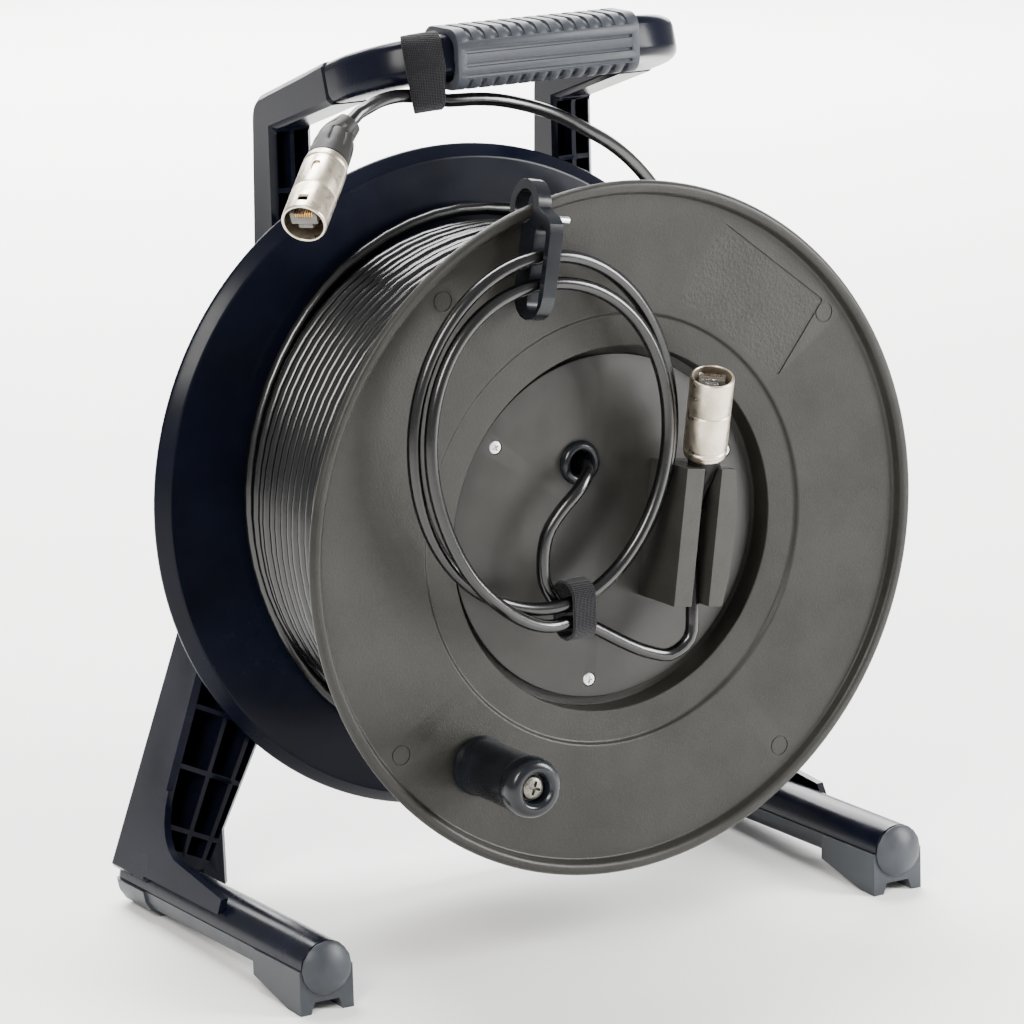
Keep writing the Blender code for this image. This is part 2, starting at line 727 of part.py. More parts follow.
def flange_profile(front):
    """Return one flange's profile as (radius, y), seen as the front flange."""
    web = WEB_SETBACK
    back = web + WEB_THICKNESS
    inner_rim = FLANGE_RADIUS - RIM_WIDTH
    rim = [
        (inner_rim - 0.8 * MM, web),
        (inner_rim, 1.2 * MM),
        (inner_rim + 1.5 * MM, 0.0),
        (FLANGE_RADIUS - 1.2 * MM, 0.0),
        (FLANGE_RADIUS, 1.8 * MM),
        (FLANGE_RADIUS, RIM_DEPTH - 1.0 * MM),
        (FLANGE_RADIUS - 1.0 * MM, RIM_DEPTH),
        (inner_rim, back),
    ]
    if front:
        floor = PLATE_FRONT + PLATE_THICKNESS + GAP
        bore = 14.0 * MM
        start = [
            (bore, floor),
            (RECESS_RADIUS, floor),
            (RECESS_RADIUS, web + STEP_DEPTH),
            (STEP_RADIUS - 0.8 * MM, web + STEP_DEPTH),
            (STEP_RADIUS + 0.2 * MM, web),
        ]
        end = [
            (RECESS_RADIUS + WEB_THICKNESS, back),
            (RECESS_RADIUS + WEB_THICKNESS, floor + WEB_THICKNESS),
            (bore, floor + WEB_THICKNESS),
        ]
        return start + rim + end
    bore = 13.0 * MM
    start = [(bore, web)]
    end = [(bore, back)]
    return start + rim + end


def build_drum(parent, face_finish, rear_finish, metal, plastic):
    """Add the two flanges, the barrel, the hub and its bushes."""
    front = add_piece("front_flange", lathe(flange_profile(True), 36), face_finish, parent)
    holes = bmesh.new()
    for degrees in SCREW_ANGLES:
        reach = SCREW_SHANK_RADIUS + GAP
        lathe([(0.0, 10.0 * MM), (reach, 10.0 * MM), (reach, 30.0 * MM), (0.0, 30.0 * MM)], 12, holes,
              polar(SCREW_PLACE_RADIUS, degrees), closed=False)
    reach = GROMMET_NECK + GAP
    lathe([(0.0, 10.0 * MM), (reach, 10.0 * MM), (reach, 30.0 * MM), (0.0, 30.0 * MM)], 20, holes,
          polar(GROMMET_PLACE_RADIUS, GROMMET_ANGLE), closed=False)
    reach = PIN_RADIUS + GAP
    lathe([(0.0, 0.0), (reach, 0.0), (reach, 12.0 * MM), (0.0, 12.0 * MM)], 16, holes,
          polar(CRANK_PLACE_RADIUS, CRANK_ANGLE), closed=False)
    boolean(front, add_piece("cut_flange_holes", holes, None, parent))
    rear_profile = [(radius, DRUM_LENGTH - y) for radius, y in flange_profile(False)]
    add_piece("rear_flange", lathe(rear_profile, 36), rear_finish, parent)
    rear_face = DRUM_LENGTH - WEB_SETBACK - WEB_THICKNESS
    start = WEB_SETBACK + WEB_THICKNESS + GAP
    end = rear_face - GAP
    barrel = [(BARREL_RADIUS - BARREL_WALL, start + 0.6 * MM), (BARREL_RADIUS, start + 0.6 * MM),
              (BARREL_RADIUS, end), (BARREL_RADIUS - BARREL_WALL, end)]
    shell = add_piece("drum_barrel", lathe(barrel, DRUM_FACETS), plastic, parent, smooth=False)
    reach = PIN_HEAD_RADIUS + GAP
    depth = WEB_SETBACK + WEB_THICKNESS + GAP + PIN_HEAD_THICKNESS + GAP
    notch = lathe([(0.0, 0.0), (reach, 0.0), (reach, depth), (0.0, depth)], 16, None,
                  polar(CRANK_PLACE_RADIUS, CRANK_ANGLE), closed=False)
    boolean(shell, add_piece("cut_pin_notch", notch, None, parent))
    hub_start = PLATE_FRONT + PLATE_THICKNESS + GAP + WEB_THICKNESS + GAP
    seat = AXLE_FRONT + NUT_HEIGHT + WASHER_THICKNESS + 3 * GAP
    shoulder = seat + BUSH_LENGTH + GAP
    rear_seat = end - BUSH_LENGTH - GAP
    hub = [(HUB_SEAT, hub_start), (HUB_OUTER, hub_start), (HUB_OUTER, end), (HUB_SEAT, end),
           (HUB_SEAT, rear_seat - GAP), (HUB_THROAT, rear_seat - GAP), (HUB_THROAT, shoulder),
           (HUB_SEAT, shoulder)]
    add_piece("drum_hub", lathe(hub, 16), plastic, parent)
    for word, first in (("front", seat), ("rear", rear_seat)):
        bush = [(AXLE_RADIUS + GAP, first), (HUB_SEAT - GAP, first), (HUB_SEAT - GAP, first + BUSH_LENGTH),
                (AXLE_RADIUS + GAP, first + BUSH_LENGTH)]
        add_piece("hub_bush_" + word, lathe(bush, 16), metal, parent)
    return end


def hexagon(radius):
    """Return a hexagonal outline."""
    return [polar(radius, 60.0 * index) for index in range(6)]


def build_axle(parent, steel):
    """Add the fixed axle with its nuts and washer."""
    rear_face = DRUM_LENGTH - WEB_SETBACK - WEB_THICKNESS
    collar = rear_face
    seat_back = FRAME_FRONT - GAP
    end = FRAME_REAR_AT_AXIS + 9.0 * MM
    profile = [(0.0, AXLE_FRONT), (AXLE_RADIUS, AXLE_FRONT), (AXLE_RADIUS, collar), (COLLAR_RADIUS, collar),
               (COLLAR_RADIUS, seat_back), (AXLE_RADIUS, seat_back), (AXLE_RADIUS, end - 1.0 * MM),
               (AXLE_RADIUS - 1.0 * MM, end), (0.0, end)]
    add_piece("axle", lathe(profile, 16, closed=False), steel, parent)
    washer_start = AXLE_FRONT + NUT_HEIGHT + 2 * GAP
    washer = [(AXLE_RADIUS + GAP, washer_start), (COLLAR_RADIUS, washer_start),
              (COLLAR_RADIUS, washer_start + WASHER_THICKNESS), (AXLE_RADIUS + GAP, washer_start + WASHER_THICKNESS)]
    add_piece("axle_washer", lathe(washer, 16), steel, parent)
    for word, start in (("front", AXLE_FRONT + GAP), ("rear", FRAME_REAR_AT_AXIS - NUT_SEAT_DEPTH + GAP)):
        width = NUT_WIDTH if word == "front" else NUT_WIDTH + 2.5 * MM
        nut = add_piece("axle_nut_" + word, prism(hexagon(width), start, start + NUT_HEIGHT), steel, parent)
        hole = lathe([(0.0, start - 0.01), (AXLE_RADIUS + GAP, start - 0.01), (AXLE_RADIUS + GAP, start + 0.02),
                      (0.0, start + 0.02)], 16, closed=False)
        boolean(nut, add_piece("cut_nut_" + word, hole, None, parent))


def build_plate(parent, plate_finish, steel, plastic):
    """Add the connector plate with its screws and the cable grommet."""
    back = PLATE_FRONT + PLATE_THICKNESS
    profile = [(0.0, PLATE_FRONT), (PLATE_RADIUS - 0.6 * MM, PLATE_FRONT), (PLATE_RADIUS, PLATE_FRONT + 0.6 * MM),
               (PLATE_RADIUS, back), (0.0, back)]
    plate = add_piece("connector_plate", lathe(profile, 32, closed=False), plate_finish, parent)
    cuts = bmesh.new()
    grommet_place = polar(GROMMET_PLACE_RADIUS, GROMMET_ANGLE)
    reach = GROMMET_NECK + GAP
    lathe([(0.0, 10.0 * MM), (reach, 10.0 * MM), (reach, 30.0 * MM), (0.0, 30.0 * MM)], 20, cuts,
          grommet_place, closed=False)
    for number, degrees in enumerate(SCREW_ANGLES, start=1):
        place = polar(SCREW_PLACE_RADIUS, degrees)
        head = SCREW_HEAD_RADIUS
        shank = SCREW_SHANK_RADIUS
        sink = head - shank
        lathe([(0.0, PLATE_FRONT - 1.0 * MM), (head + GAP, PLATE_FRONT - 1.0 * MM),
               (head + GAP, PLATE_FRONT + 0.5 * MM), (shank + GAP, PLATE_FRONT + 0.5 * MM + sink),
               (shank + GAP, back + 1.0 * MM), (0.0, back + 1.0 * MM)], 16, cuts, place, closed=False)
        face = PLATE_FRONT - 0.1 * MM
        body = [(0.0, face), (head * 0.8, face), (head, face + 0.25 * MM), (head, face + 0.5 * MM),
                (shank, face + 0.5 * MM + sink), (shank, face + SCREW_LENGTH), (0.0, face + SCREW_LENGTH)]
        add_piece("plate_screw_%d" % number, lathe(body, 12, None, place, closed=False), steel, parent)
    boolean(plate, add_piece("cut_plate_holes", cuts, None, parent))

    neck_end = back + GAP + WEB_THICKNESS + GAP
    front = PLATE_FRONT - GAP
    body = [(GROMMET_BORE, front - 1.5 * MM), (GROMMET_BORE + 0.8 * MM, front - 3.2 * MM),
            (GROMMET_BORE + 2.2 * MM, front - 3.6 * MM), (GROMMET_RADIUS - 0.8 * MM, front - 2.2 * MM),
            (GROMMET_RADIUS, front - 0.6 * MM), (GROMMET_RADIUS, front), (GROMMET_NECK, front),
            (GROMMET_NECK, neck_end), (GROMMET_NECK + 1.5 * MM, neck_end), (GROMMET_NECK + 1.5 * MM, neck_end + 2.0 * MM),
            (GROMMET_BORE, neck_end + 2.0 * MM)]
    add_piece("cable_grommet", lathe(body, 16, None, grommet_place), plastic, parent, smooth=True)


def inner_boot_path():
    """Return the bent route of the inner connector's boot, from its shell down the holder."""
    return [Vector(point) * MM for point in (
        (35.27, -5.9, 35.33), (36.18, -4.51, 31.69), (36.2, -3.1, 27.2), (35.5, -1.7, 22.2), (34.9, -0.7, 17.2),
        (34.9, -0.1, 12.6))]


INNER_SHELL_BACK = (35.2, -6.0, 35.6)
BOOT_RADII = (7.4, 7.0, 6.4, 5.8, 5.3, 4.8)
OUTER_BOOT_RADII = (9.1, 9.1, 8.9, 8.1, 6.8, 5.4)


def build_holder(parent, material):
    """Add the connector holder: two ribs with a slot between them."""
    half = HOLDER_HEIGHT / 2
    left = HOLDER_X - HOLDER_WIDTH / 2
    right = HOLDER_X + HOLDER_WIDTH / 2
    outline = [(left, -half), (right - 2.0 * MM, -half), (right, -half * 0.6), (right + 0.9 * MM, 0.0),
               (right, half * 0.6), (right - 2.0 * MM, half), (left, half)]
    holder = add_piece("connector_holder", prism(outline, HOLDER_FRONT, PLATE_FRONT - GAP), material, parent)
    slot = box((HOLDER_X - HOLDER_SLOT / 2, HOLDER_FRONT - 2.0 * MM, -half - 2.0 * MM),
               (HOLDER_X + HOLDER_SLOT / 2, HOLDER_SLOT_FLOOR, half + 2.0 * MM))
    boolean(holder, add_piece("cut_holder_slot", slot, None, parent))
    path = inner_boot_path()
    start = path[0] + (path[0] - path[1]) * 0.6
    below = path[-1] + (path[-1] - path[-2]) * 0.5
    radii = [(radius + 0.8) * MM for radius in (BOOT_RADII[0], *BOOT_RADII, BOOT_RADII[-1])]
    pocket = sweep([start, *path, below], circle(1.0, 16), (1.0, 0.0, 0.0), radii)
    boolean(holder, add_piece("cut_boot_pocket", pocket, None, parent))


def build_crank(drum, knob_frame, knob_finish, steel, screw_finish):
    """Add the crank pin, its screw and the knob that turns on it."""
    web_back = WEB_SETBACK + WEB_THICKNESS
    pin_front = KNOB_RECESS_FLOOR - GAP + 0.8 * MM
    head = PIN_HEAD_RADIUS
    place = polar(CRANK_PLACE_RADIUS, CRANK_ANGLE)
    bore = 2.3 * MM
    profile = [(0.0, pin_front + 14.0 * MM), (bore, pin_front + 14.0 * MM), (bore, pin_front), (PIN_RADIUS, pin_front),
               (PIN_RADIUS, web_back + GAP), (head, web_back + GAP),
               (head, web_back + GAP + PIN_HEAD_THICKNESS), (0.0, web_back + GAP + PIN_HEAD_THICKNESS)]
    add_piece("crank_pin", lathe(profile, 12, None, place, closed=False), steel, drum)
    head_front = KNOB_RECESS_FLOOR - 3.4 * MM
    head_back = KNOB_RECESS_FLOOR - GAP
    body = [(0.0, head_front), (CRANK_HEAD_RADIUS * 0.72, head_front), (CRANK_HEAD_RADIUS, head_front + 1.2 * MM),
            (CRANK_HEAD_RADIUS, head_back), (2.0 * MM, head_back), (2.0 * MM, head_back + 12.0 * MM),
            (0.0, head_back + 12.0 * MM)]
    add_piece("crank_screw", lathe(body, 12, None, place, closed=False), screw_finish, drum)
    base = WEB_SETBACK - GAP
    reach = PIN_RADIUS + GAP
    knob = [(reach, base), (KNOB_RADIUS - 1.2 * MM, base), (KNOB_RADIUS, base - 1.6 * MM),
            (KNOB_RADIUS - 1.0 * MM, base - 5.0 * MM), (KNOB_RADIUS - 0.9 * MM, KNOB_FRONT + 11.5 * MM),
            (KNOB_RADIUS, KNOB_FRONT + 8.5 * MM), (KNOB_RADIUS - 0.2 * MM, KNOB_FRONT + 4.0 * MM),
            (KNOB_RADIUS - 1.6 * MM, KNOB_FRONT + 1.2 * MM), (KNOB_RADIUS - 4.4 * MM, KNOB_FRONT),
            (KNOB_RECESS_RADIUS - 0.4 * MM, KNOB_FRONT + 0.6 * MM),
            (KNOB_RECESS_RADIUS - 0.8 * MM, KNOB_RECESS_FLOOR), (reach, KNOB_RECESS_FLOOR)]
    add_piece("crank_knob", lathe(knob, 20), knob_finish, knob_frame, smooth=True)


def build_clip(parent, plastic, steel):
    """Add the clip over the rim and its pin, in a frame of its own on the rim."""
    height = math.sqrt((FLANGE_RADIUS - CLIP_INSET) ** 2 - CLIP_X**2)
    frame = empty("clip_frame", parent, (CLIP_X, 0.0, height), (0.0, CLIP_TURN, 0.0))
    back = WEB_SETBACK - 1.4 * GAP
    ring_y = (WEB_SETBACK + WEB_THICKNESS + 1.0 * MM) / 2
    lower = (back - CLIP_FRONT) / 2
    middle = (back + CLIP_FRONT) / 2
    upper = CLIP_SLOT_Y - CLIP_FRONT
    body = [(-3.4 * MM, 3.0 * MM), (-3.4 * MM, -7.0 * MM), (back, -10.4 * MM), (back, CLIP_LOW + lower)]
    body += arc((middle, CLIP_LOW + lower), lower, 0, -180, 8)[1:]
    body += arc((CLIP_SLOT_Y, -9.0 * MM), upper, 180, 90, 3)
    clip = add_piece("flange_clip", prism(body, -CLIP_HALF, CLIP_HALF, "X"), plastic, frame)
    eye = arc((ring_y, 0.0), CLIP_EYE_OUTER, 0, 360, 20)[:-1]
    hook = add_piece("add_clip_eye", prism(eye, -CLIP_HALF, CLIP_HALF, "X"), None, frame)
    hollow = arc((ring_y, 0.0), CLIP_EYE_INNER, 0, 360, 16)[:-1]
    boolean(clip, hook, "UNION")
    wide = 3.0 * CLIP_HALF
    boolean(clip, add_piece("cut_clip_eye", prism(hollow, -wide, wide, "X"), None, frame))
    slot = arc((CLIP_SLOT_Y, CLIP_LOW + 8.3 * MM), CLIP_SLOT_RADIUS, 0, -180, 6)
    slot += arc((CLIP_SLOT_Y, -11.0 * MM), CLIP_SLOT_RADIUS, 180, 0, 6)
    boolean(clip, add_piece("cut_clip_slot", prism(slot, -wide, wide, "X"), None, frame))
    web = box((-wide, back, -14.0 * MM), (wide, WEB_SETBACK + WEB_THICKNESS + 1.4 * GAP, 0.0))
    boolean(clip, add_piece("cut_clip_web", web, None, frame))
    pin_y = -7.0 * MM
    pin_z = -4.0 * MM
    bore = sweep([(-1.3 * MM, pin_y, pin_z), (20.0 * MM, pin_y, pin_z)], circle(CLIP_PIN_RADIUS + GAP, 12),
                 (0.0, 0.0, 1.0))
    boolean(clip, add_piece("cut_clip_bore", bore, None, frame))
    pin = sweep([(-1.0 * MM, pin_y, pin_z), (12.5 * MM, pin_y, pin_z)], circle(CLIP_PIN_RADIUS, 12), (0.0, 0.0, 1.0))
    add_piece("clip_pin", pin, steel, frame)


def winding_centre(y):
    """Return the outer layer's centreline radius at a place along the drum."""
    if y <= WINDING_FLAT_END:
        return WINDING_RADIUS
    last = WINDING_START + TURNS * WINDING_PITCH
    share = (y - WINDING_FLAT_END) / (last - WINDING_FLAT_END)
    return WINDING_RADIUS + (WINDING_END_RADIUS - WINDING_RADIUS) * share ** 1.15


def ease(share):
    """Return a smooth step between 0 and 1."""
    share = max(0.0, min(1.0, share))
    return share * share * (3.0 - 2.0 * share)


def winding_points():
    """Return the outer layer's centreline, from the front flange to its end at the rear."""
    points = []
    total = TURNS * LOOP_POINTS
    for index in range(total + 1):
        angle = math.radians(WINDING_END_ANGLE) - math.tau * (total - index) / LOOP_POINTS
        y = WINDING_START + WINDING_PITCH * index / LOOP_POINTS
        radius = winding_centre(y)
        points.append(Vector((radius * math.cos(angle), y, radius * math.sin(angle))))
    return points


# Loose last turn as (angle in degrees, radius, y), in mm
LOOSE_SHAPE = (
    (-96.0, 113.0, 134.4), (-50.0, 115.0, 134.4), (0.0, 120.5, 134.4), (50.0, 125.6, 134.4), (88.0, 126.4, 134.4),
    (116.0, 122.6, 134.4), (143.0, 116.8, 134.4), (170.0, 113.4, 134.4), (203.0, 113.2, 134.4),
    (232.0, 118.5, 134.0), (262.0, 125.5, 130.5), (295.0, 129.6, 123.5), (325.0, 130.3, 119.0), (354.0, 130.3, 118.0),
)


def shape_value(rows, at, column):
    """Return a column of a table at a place in its first column, on a smooth curve through the rows."""
    slopes = []
    for index in range(len(rows)):
        low = rows[max(index - 1, 0)]
        high = rows[min(index + 1, len(rows) - 1)]
        slopes.append((high[column] - low[column]) / (high[0] - low[0]))
    index = 0
    while index < len(rows) - 2 and at > rows[index + 1][0]:
        index += 1
    span = rows[index + 1][0] - rows[index][0]
    t = (at - rows[index][0]) / span
    value = rows[index][column] * (2 * t**3 - 3 * t**2 + 1) + rows[index + 1][column] * (3 * t**2 - 2 * t**3)
    value += span * (slopes[index] * (t**3 - 2 * t**2 + t) + slopes[index + 1] * (t**3 - t**2))
    return value


def loose_turn_points():
    """Return the loose last turn, which lies beside the wound layer and runs on as the outer lead."""
    points = []
    for index in range(LOOP_POINTS + LOOSE_EXTRA_POINTS + 1):
        degrees = WINDING_END_ANGLE + 360.0 * index / LOOP_POINTS
        radius = shape_value(LOOSE_SHAPE, degrees, 1) * MM
        y = shape_value(LOOSE_SHAPE, degrees, 2) * MM
        angle = math.radians(degrees)
        points.append(Vector((radius * math.cos(angle), y, radius * math.sin(angle))))
    return points


def build_winding(parent, cable):
    """Add the wound cable: a plain core under one layer of real turns."""
    points = winding_points()
    cable_tube("winding_layer", points, cable, parent, 1)
    print("winding_layer least gap mm: %.2f" % (least_gap(points, 12) / MM))
    shrink = math.cos(math.pi / LOOP_POINTS)
    inside = (BARREL_RADIUS + GAP) / math.cos(math.pi / DRUM_FACETS)
    profile = [(inside, WINDING_START - CABLE_RADIUS)]
    last = WINDING_START + TURNS * WINDING_PITCH
    halfway = (WINDING_FLAT_END + last) / 2
    for y in (WINDING_START - CABLE_RADIUS, WINDING_FLAT_END, halfway, last - 1.5 * MM, last + 2.0 * MM):
        surface = winding_centre(min(y, last)) * shrink - CABLE_RADIUS - CABLE_GAP
        profile.append((max(surface, inside + 0.8 * MM), y))
    base = WINDING_END_RADIUS - 3 * CABLE_RADIUS
    rear = DRUM_LENGTH - WEB_SETBACK - WEB_THICKNESS - CABLE_RADIUS
    profile += [(base, last + 2.0 * MM), (base, rear), (inside, rear)]
    add_piece("winding_core", lathe(profile, DRUM_FACETS), cable, parent, smooth=False)


LOOP_CENTRE = (-42.8, 50.0)
TIE_TURN = -77.7
LOOP_SHAPE = (
    (0.0, 66.1, 80.9, -2.2),
    (0.22, 66.1, 79.5, -6.0),
    (0.47, 66.1, 78.7, -11.4),
    (0.72, 66.1, 77.5, -9.4),
    (0.86, 65.5, 76.0, -6.4),
    (1.0, 63.5, 76.56, -8.8),
    (1.22, 61.0, 70.0, -11.0),
    (1.47, 60.6, 67.0, -11.8),
    (1.72, 60.4, 71.0, -14.2),
    (1.86, 60.4, 79.0, -15.2),
    (2.0, 60.4, 85.15, -8.8),
)


def loop_point(turn):
    """Return the inner loops' centreline at a count of turns from the tie, in mm."""
    for low, high in zip(LOOP_SHAPE, LOOP_SHAPE[1:]):
        if turn <= high[0]:
            break
    share = ease((turn - low[0]) / (high[0] - low[0]))
    wide = low[1] + (high[1] - low[1]) * share
    tall = low[2] + (high[2] - low[2]) * share
    y = low[3] + (high[3] - low[3]) * share
    angle = math.radians(TIE_TURN) + math.tau * turn
    return Vector((LOOP_CENTRE[0] + wide * math.cos(angle), y, LOOP_CENTRE[1] + tall * math.sin(angle)))


LEAD_IN = (
    (-12.3, 27.0, 30.3), (-12.3, 19.0, 30.3), (-12.4, 11.0, 30.2), (-14.4, 4.0, 28.6), (-20.5, -0.4, 23.5),
    (-29.5, -0.6, 15.5), (-37.0, 0.8, 5.6), (-39.8, 1.6, -8.7), (-38.6, 1.4, -19.5), (-34.4, -0.8, -27.6),
)
LEAD_OUT = (
    (-15.9, -7.4, -41.2), (5.0, -6.2, -52.7), (19.0, -6.4, -57.0), (27.8, -7.2, -53.4), (30.6, -7.6, -45.0),
    (31.4, -6.6, -33.0), (33.6, -3.2, -12.0),
)


def from_nominal(point):
    """Turn a point fixed on the drum to where it lies in the stand's frame."""
    return Matrix.Rotation(DRUM_TURN, 4, "Y") @ Vector(point)


def build_inner_lead(parent, cable, strap):
    """Add the inner end of the cable: two loops, held by a tie, then up the holder."""
    boot = inner_boot_path()
    down = (boot[-1] - boot[-2]).normalized()
    ends = [from_nominal(boot[-1] + down * (0.3 * MM + step * MM)) for step in (9.0, 4.0, 0.0)]
    start = smooth_run([Vector(point) * MM for point in LEAD_IN] + [loop_point(0.0) * MM], 13.0 * MM)
    loops = [loop_point(index / LOOP_POINTS) * MM for index in range(2 * LOOP_POINTS + 1)]
    out = smooth_run([loops[-1]] + [Vector(point) * MM for point in LEAD_OUT] + ends, 13.0 * MM)
    points = start[:-1] + loops + out[1:]
    cable_tube("inner_lead", points, cable, parent, 1)
    print("inner_lead least gap mm: %.2f" % (least_gap(points, 4) / MM))
    length = sum((b - a).length for a, b in zip(points, points[1:]))
    print("inner_lead length mm: %.0f, points %d" % (length / MM, len(points)))
    path = [(-34.0 * MM, -4.8 * MM, -29.4 * MM), (-22.4 * MM, -4.8 * MM, -29.4 * MM)]
    outer = rounded_section(18.8 * MM, 27.6 * MM, 5.5 * MM, 3)
    hole = rounded_section(16.0 * MM, 24.8 * MM, 4.2 * MM, 3)
    add_piece("lead_tie", sweep(path, outer, (0.0, 0.0, 1.0), hollow=hole), strap, parent)


OUTER_ROUTE = (
    (130.0, 118.0, 11.0), (129.6, 117.4, 22.0), (126.4, 115.0, 60.0), (116.6, 111.0, 86.0), (101.0, 106.0, 110.0),
    (79.0, 97.0, 136.0), (54.0, 84.0, 155.0), (31.0, 75.0, 167.4), (8.0, 69.0, 178.0), (-17.0, 65.4, 185.4),
    (-34.0, 64.4, 187.6), (-44.0, 64.2, 187.9), (-54.0, 65.8, 190.1), (-65.0, 64.0, 192.0), (-75.4, 58.2, 193.0),
    (-86.7, 51.8, 192.6),
)
OUTER_BOOT_END = (-100.4, 43.7, 188.7)
OUTER_SHELL_BACK = (-123.2, 32.2, 171.7)
OUTER_MOUTH = (-148.3, 8.0, 151.9)


def connector_matrix(back, mouth):
    """Return the frame of a connector: origin at the shell's back, +Y away from the mouth."""
    toward = (Vector(mouth) - Vector(back)).normalized()
    y_axis = -toward
    side = Vector((0.0, 0.0, 1.0)).cross(y_axis).normalized()
    rise = y_axis.cross(side).normalized()
    side = y_axis.cross(rise)
    matrix = Matrix((side, y_axis, rise)).transposed().to_4x4()
    matrix.translation = Vector(back)
    return matrix


def build_shell(prefix, parent, matrix, metal, clear):
    """Add a connector's metal shell and the clear plug in its mouth."""
    mouth = -SHELL_LENGTH
    floor = mouth + SHELL_MOUTH_DEPTH
    radius = SHELL_RADIUS
    profile = [(5.6 * MM, 0.0), (radius - 0.8 * MM, 0.0), (radius, -0.8 * MM), (radius, mouth + 0.6 * MM),
               (radius - 0.5 * MM, mouth), (SHELL_BORE, mouth), (SHELL_BORE, floor),
               (7.2 * MM, floor), (7.2 * MM, -6.0 * MM), (5.6 * MM, -6.0 * MM)]
    shell = add_piece(prefix + "_shell", lathe(profile, 16), metal, parent, smooth=False)
    shell.matrix_basis = matrix
    window = box((-2.2 * MM, mouth + 4.0 * MM, 4.0 * MM), (2.2 * MM, mouth + 8.0 * MM, 12.0 * MM))
    tool = add_piece(prefix + "_cut_window", window, None, parent)
    tool.matrix_basis = matrix
    boolean(shell, tool)
    front = mouth + 1.4 * MM
    plug = box((-5.8 * MM, front, -4.0 * MM), (5.8 * MM, -8.0 * MM, 2.6 * MM))
    body = add_piece(prefix + "_plug", plug, clear, parent)
    body.matrix_basis = matrix


def build_connectors(stand, drum, metal, rubber, clear):
    """Add both connectors with their boots."""
    back = Vector(OUTER_SHELL_BACK) * MM
    mouth = Vector(OUTER_MOUTH) * MM
    build_shell("outer_conn", stand, connector_matrix(back, mouth), metal, clear)
    end = Vector(OUTER_BOOT_END) * MM
    along = (back - mouth).normalized()
    path = [back + along * (GAP + share * BOOT_LENGTH) for share in (0.0, 0.18, 0.36, 0.56, 0.78, 1.0)]
    path[-1] = path[-1].lerp(end, 0.5)
    build_boot("outer_conn_boot", path, OUTER_BOOT_RADII, stand, rubber)
    base = Vector(INNER_SHELL_BACK) * MM
    top = Vector((26.0, -20.0, 72.3)) * MM
    lift = (top - base).normalized() * GAP
    build_shell("inner_conn", drum, connector_matrix(base + lift, top), metal, clear)
    build_boot("inner_conn_boot", inner_boot_path(), BOOT_RADII, drum, rubber)


def build_boot(name, path, sizes, parent, rubber):
    """Add a tapering rubber boot with a bore for the cable."""
    radii = [radius * MM for radius in sizes]
    bores = [3.4 * MM] * len(path)
    add_piece(name, sweep(path, circle(1.0, 12), (1.0, 0.0, 0.0), radii, circle(1.0, 12), bores), rubber, parent)


def build_outer_lead(parent, cable, strap):
    """Add the free end of the cable and the strap that holds it to the bar."""
    back = Vector(OUTER_SHELL_BACK) * MM
    along = (back - Vector(OUTER_MOUTH) * MM).normalized()
    tip = back + along * (GAP + BOOT_LENGTH)
    tip = tip.lerp(Vector(OUTER_BOOT_END) * MM, 0.5)
    before = back + along * (GAP + 0.78 * BOOT_LENGTH)
    heading = (tip - before).normalized()
    ends = [tip + heading * (step * MM + GAP) for step in (6.0, 0.0)]
    loose = loose_turn_points()
    leave = (loose[-1] - loose[-2]).normalized()
    route = [loose[-1], loose[-1] + leave * (6.0 * MM)] + [Vector(point) * MM for point in OUTER_ROUTE[1:]] + [ends[0]]
    points = loose[:-1] + smooth_run(route, 13.0 * MM) + [ends[1]]
    cable_tube("outer_lead", points, cable, parent, 1)
    print("outer_lead least gap mm: %.2f" % (least_gap(points, 12) / MM))
    length = sum((b - a).length for a, b in zip(points, points[1:]))
    print("outer_lead length mm: %.0f, points %d" % (length / MM, len(points)))
    build_strap(parent, strap)


def build_strap(parent, strap):
    """Add the textile strap round the bar and the lead under it."""
    arm_x = (UPRIGHT_INNER + UPRIGHT_OUTER) / 2
    path = []
    for degrees in (262, 254, 246, 238):
        angle = math.radians(degrees)
        x = -arm_x + BOW_BEND + BOW_BEND * math.cos(angle)
        y = BAR_Y + BOW_BEND + BOW_BEND * math.sin(angle)
        path.append(Vector((x, y, arm_centre_z(y) - 4.2 * MM)))
    outer = rounded_section(29.4 * MM, 36.2 * MM, 7.4 * MM, 2)
    hole = rounded_section(25.9 * MM, 32.7 * MM, 5.6 * MM, 2)
    up = (0.0, math.sin(ARM_SLOPE), math.cos(ARM_SLOPE))
    add_piece("handle_strap", sweep(path, outer, up, hollow=hole), strap, parent)


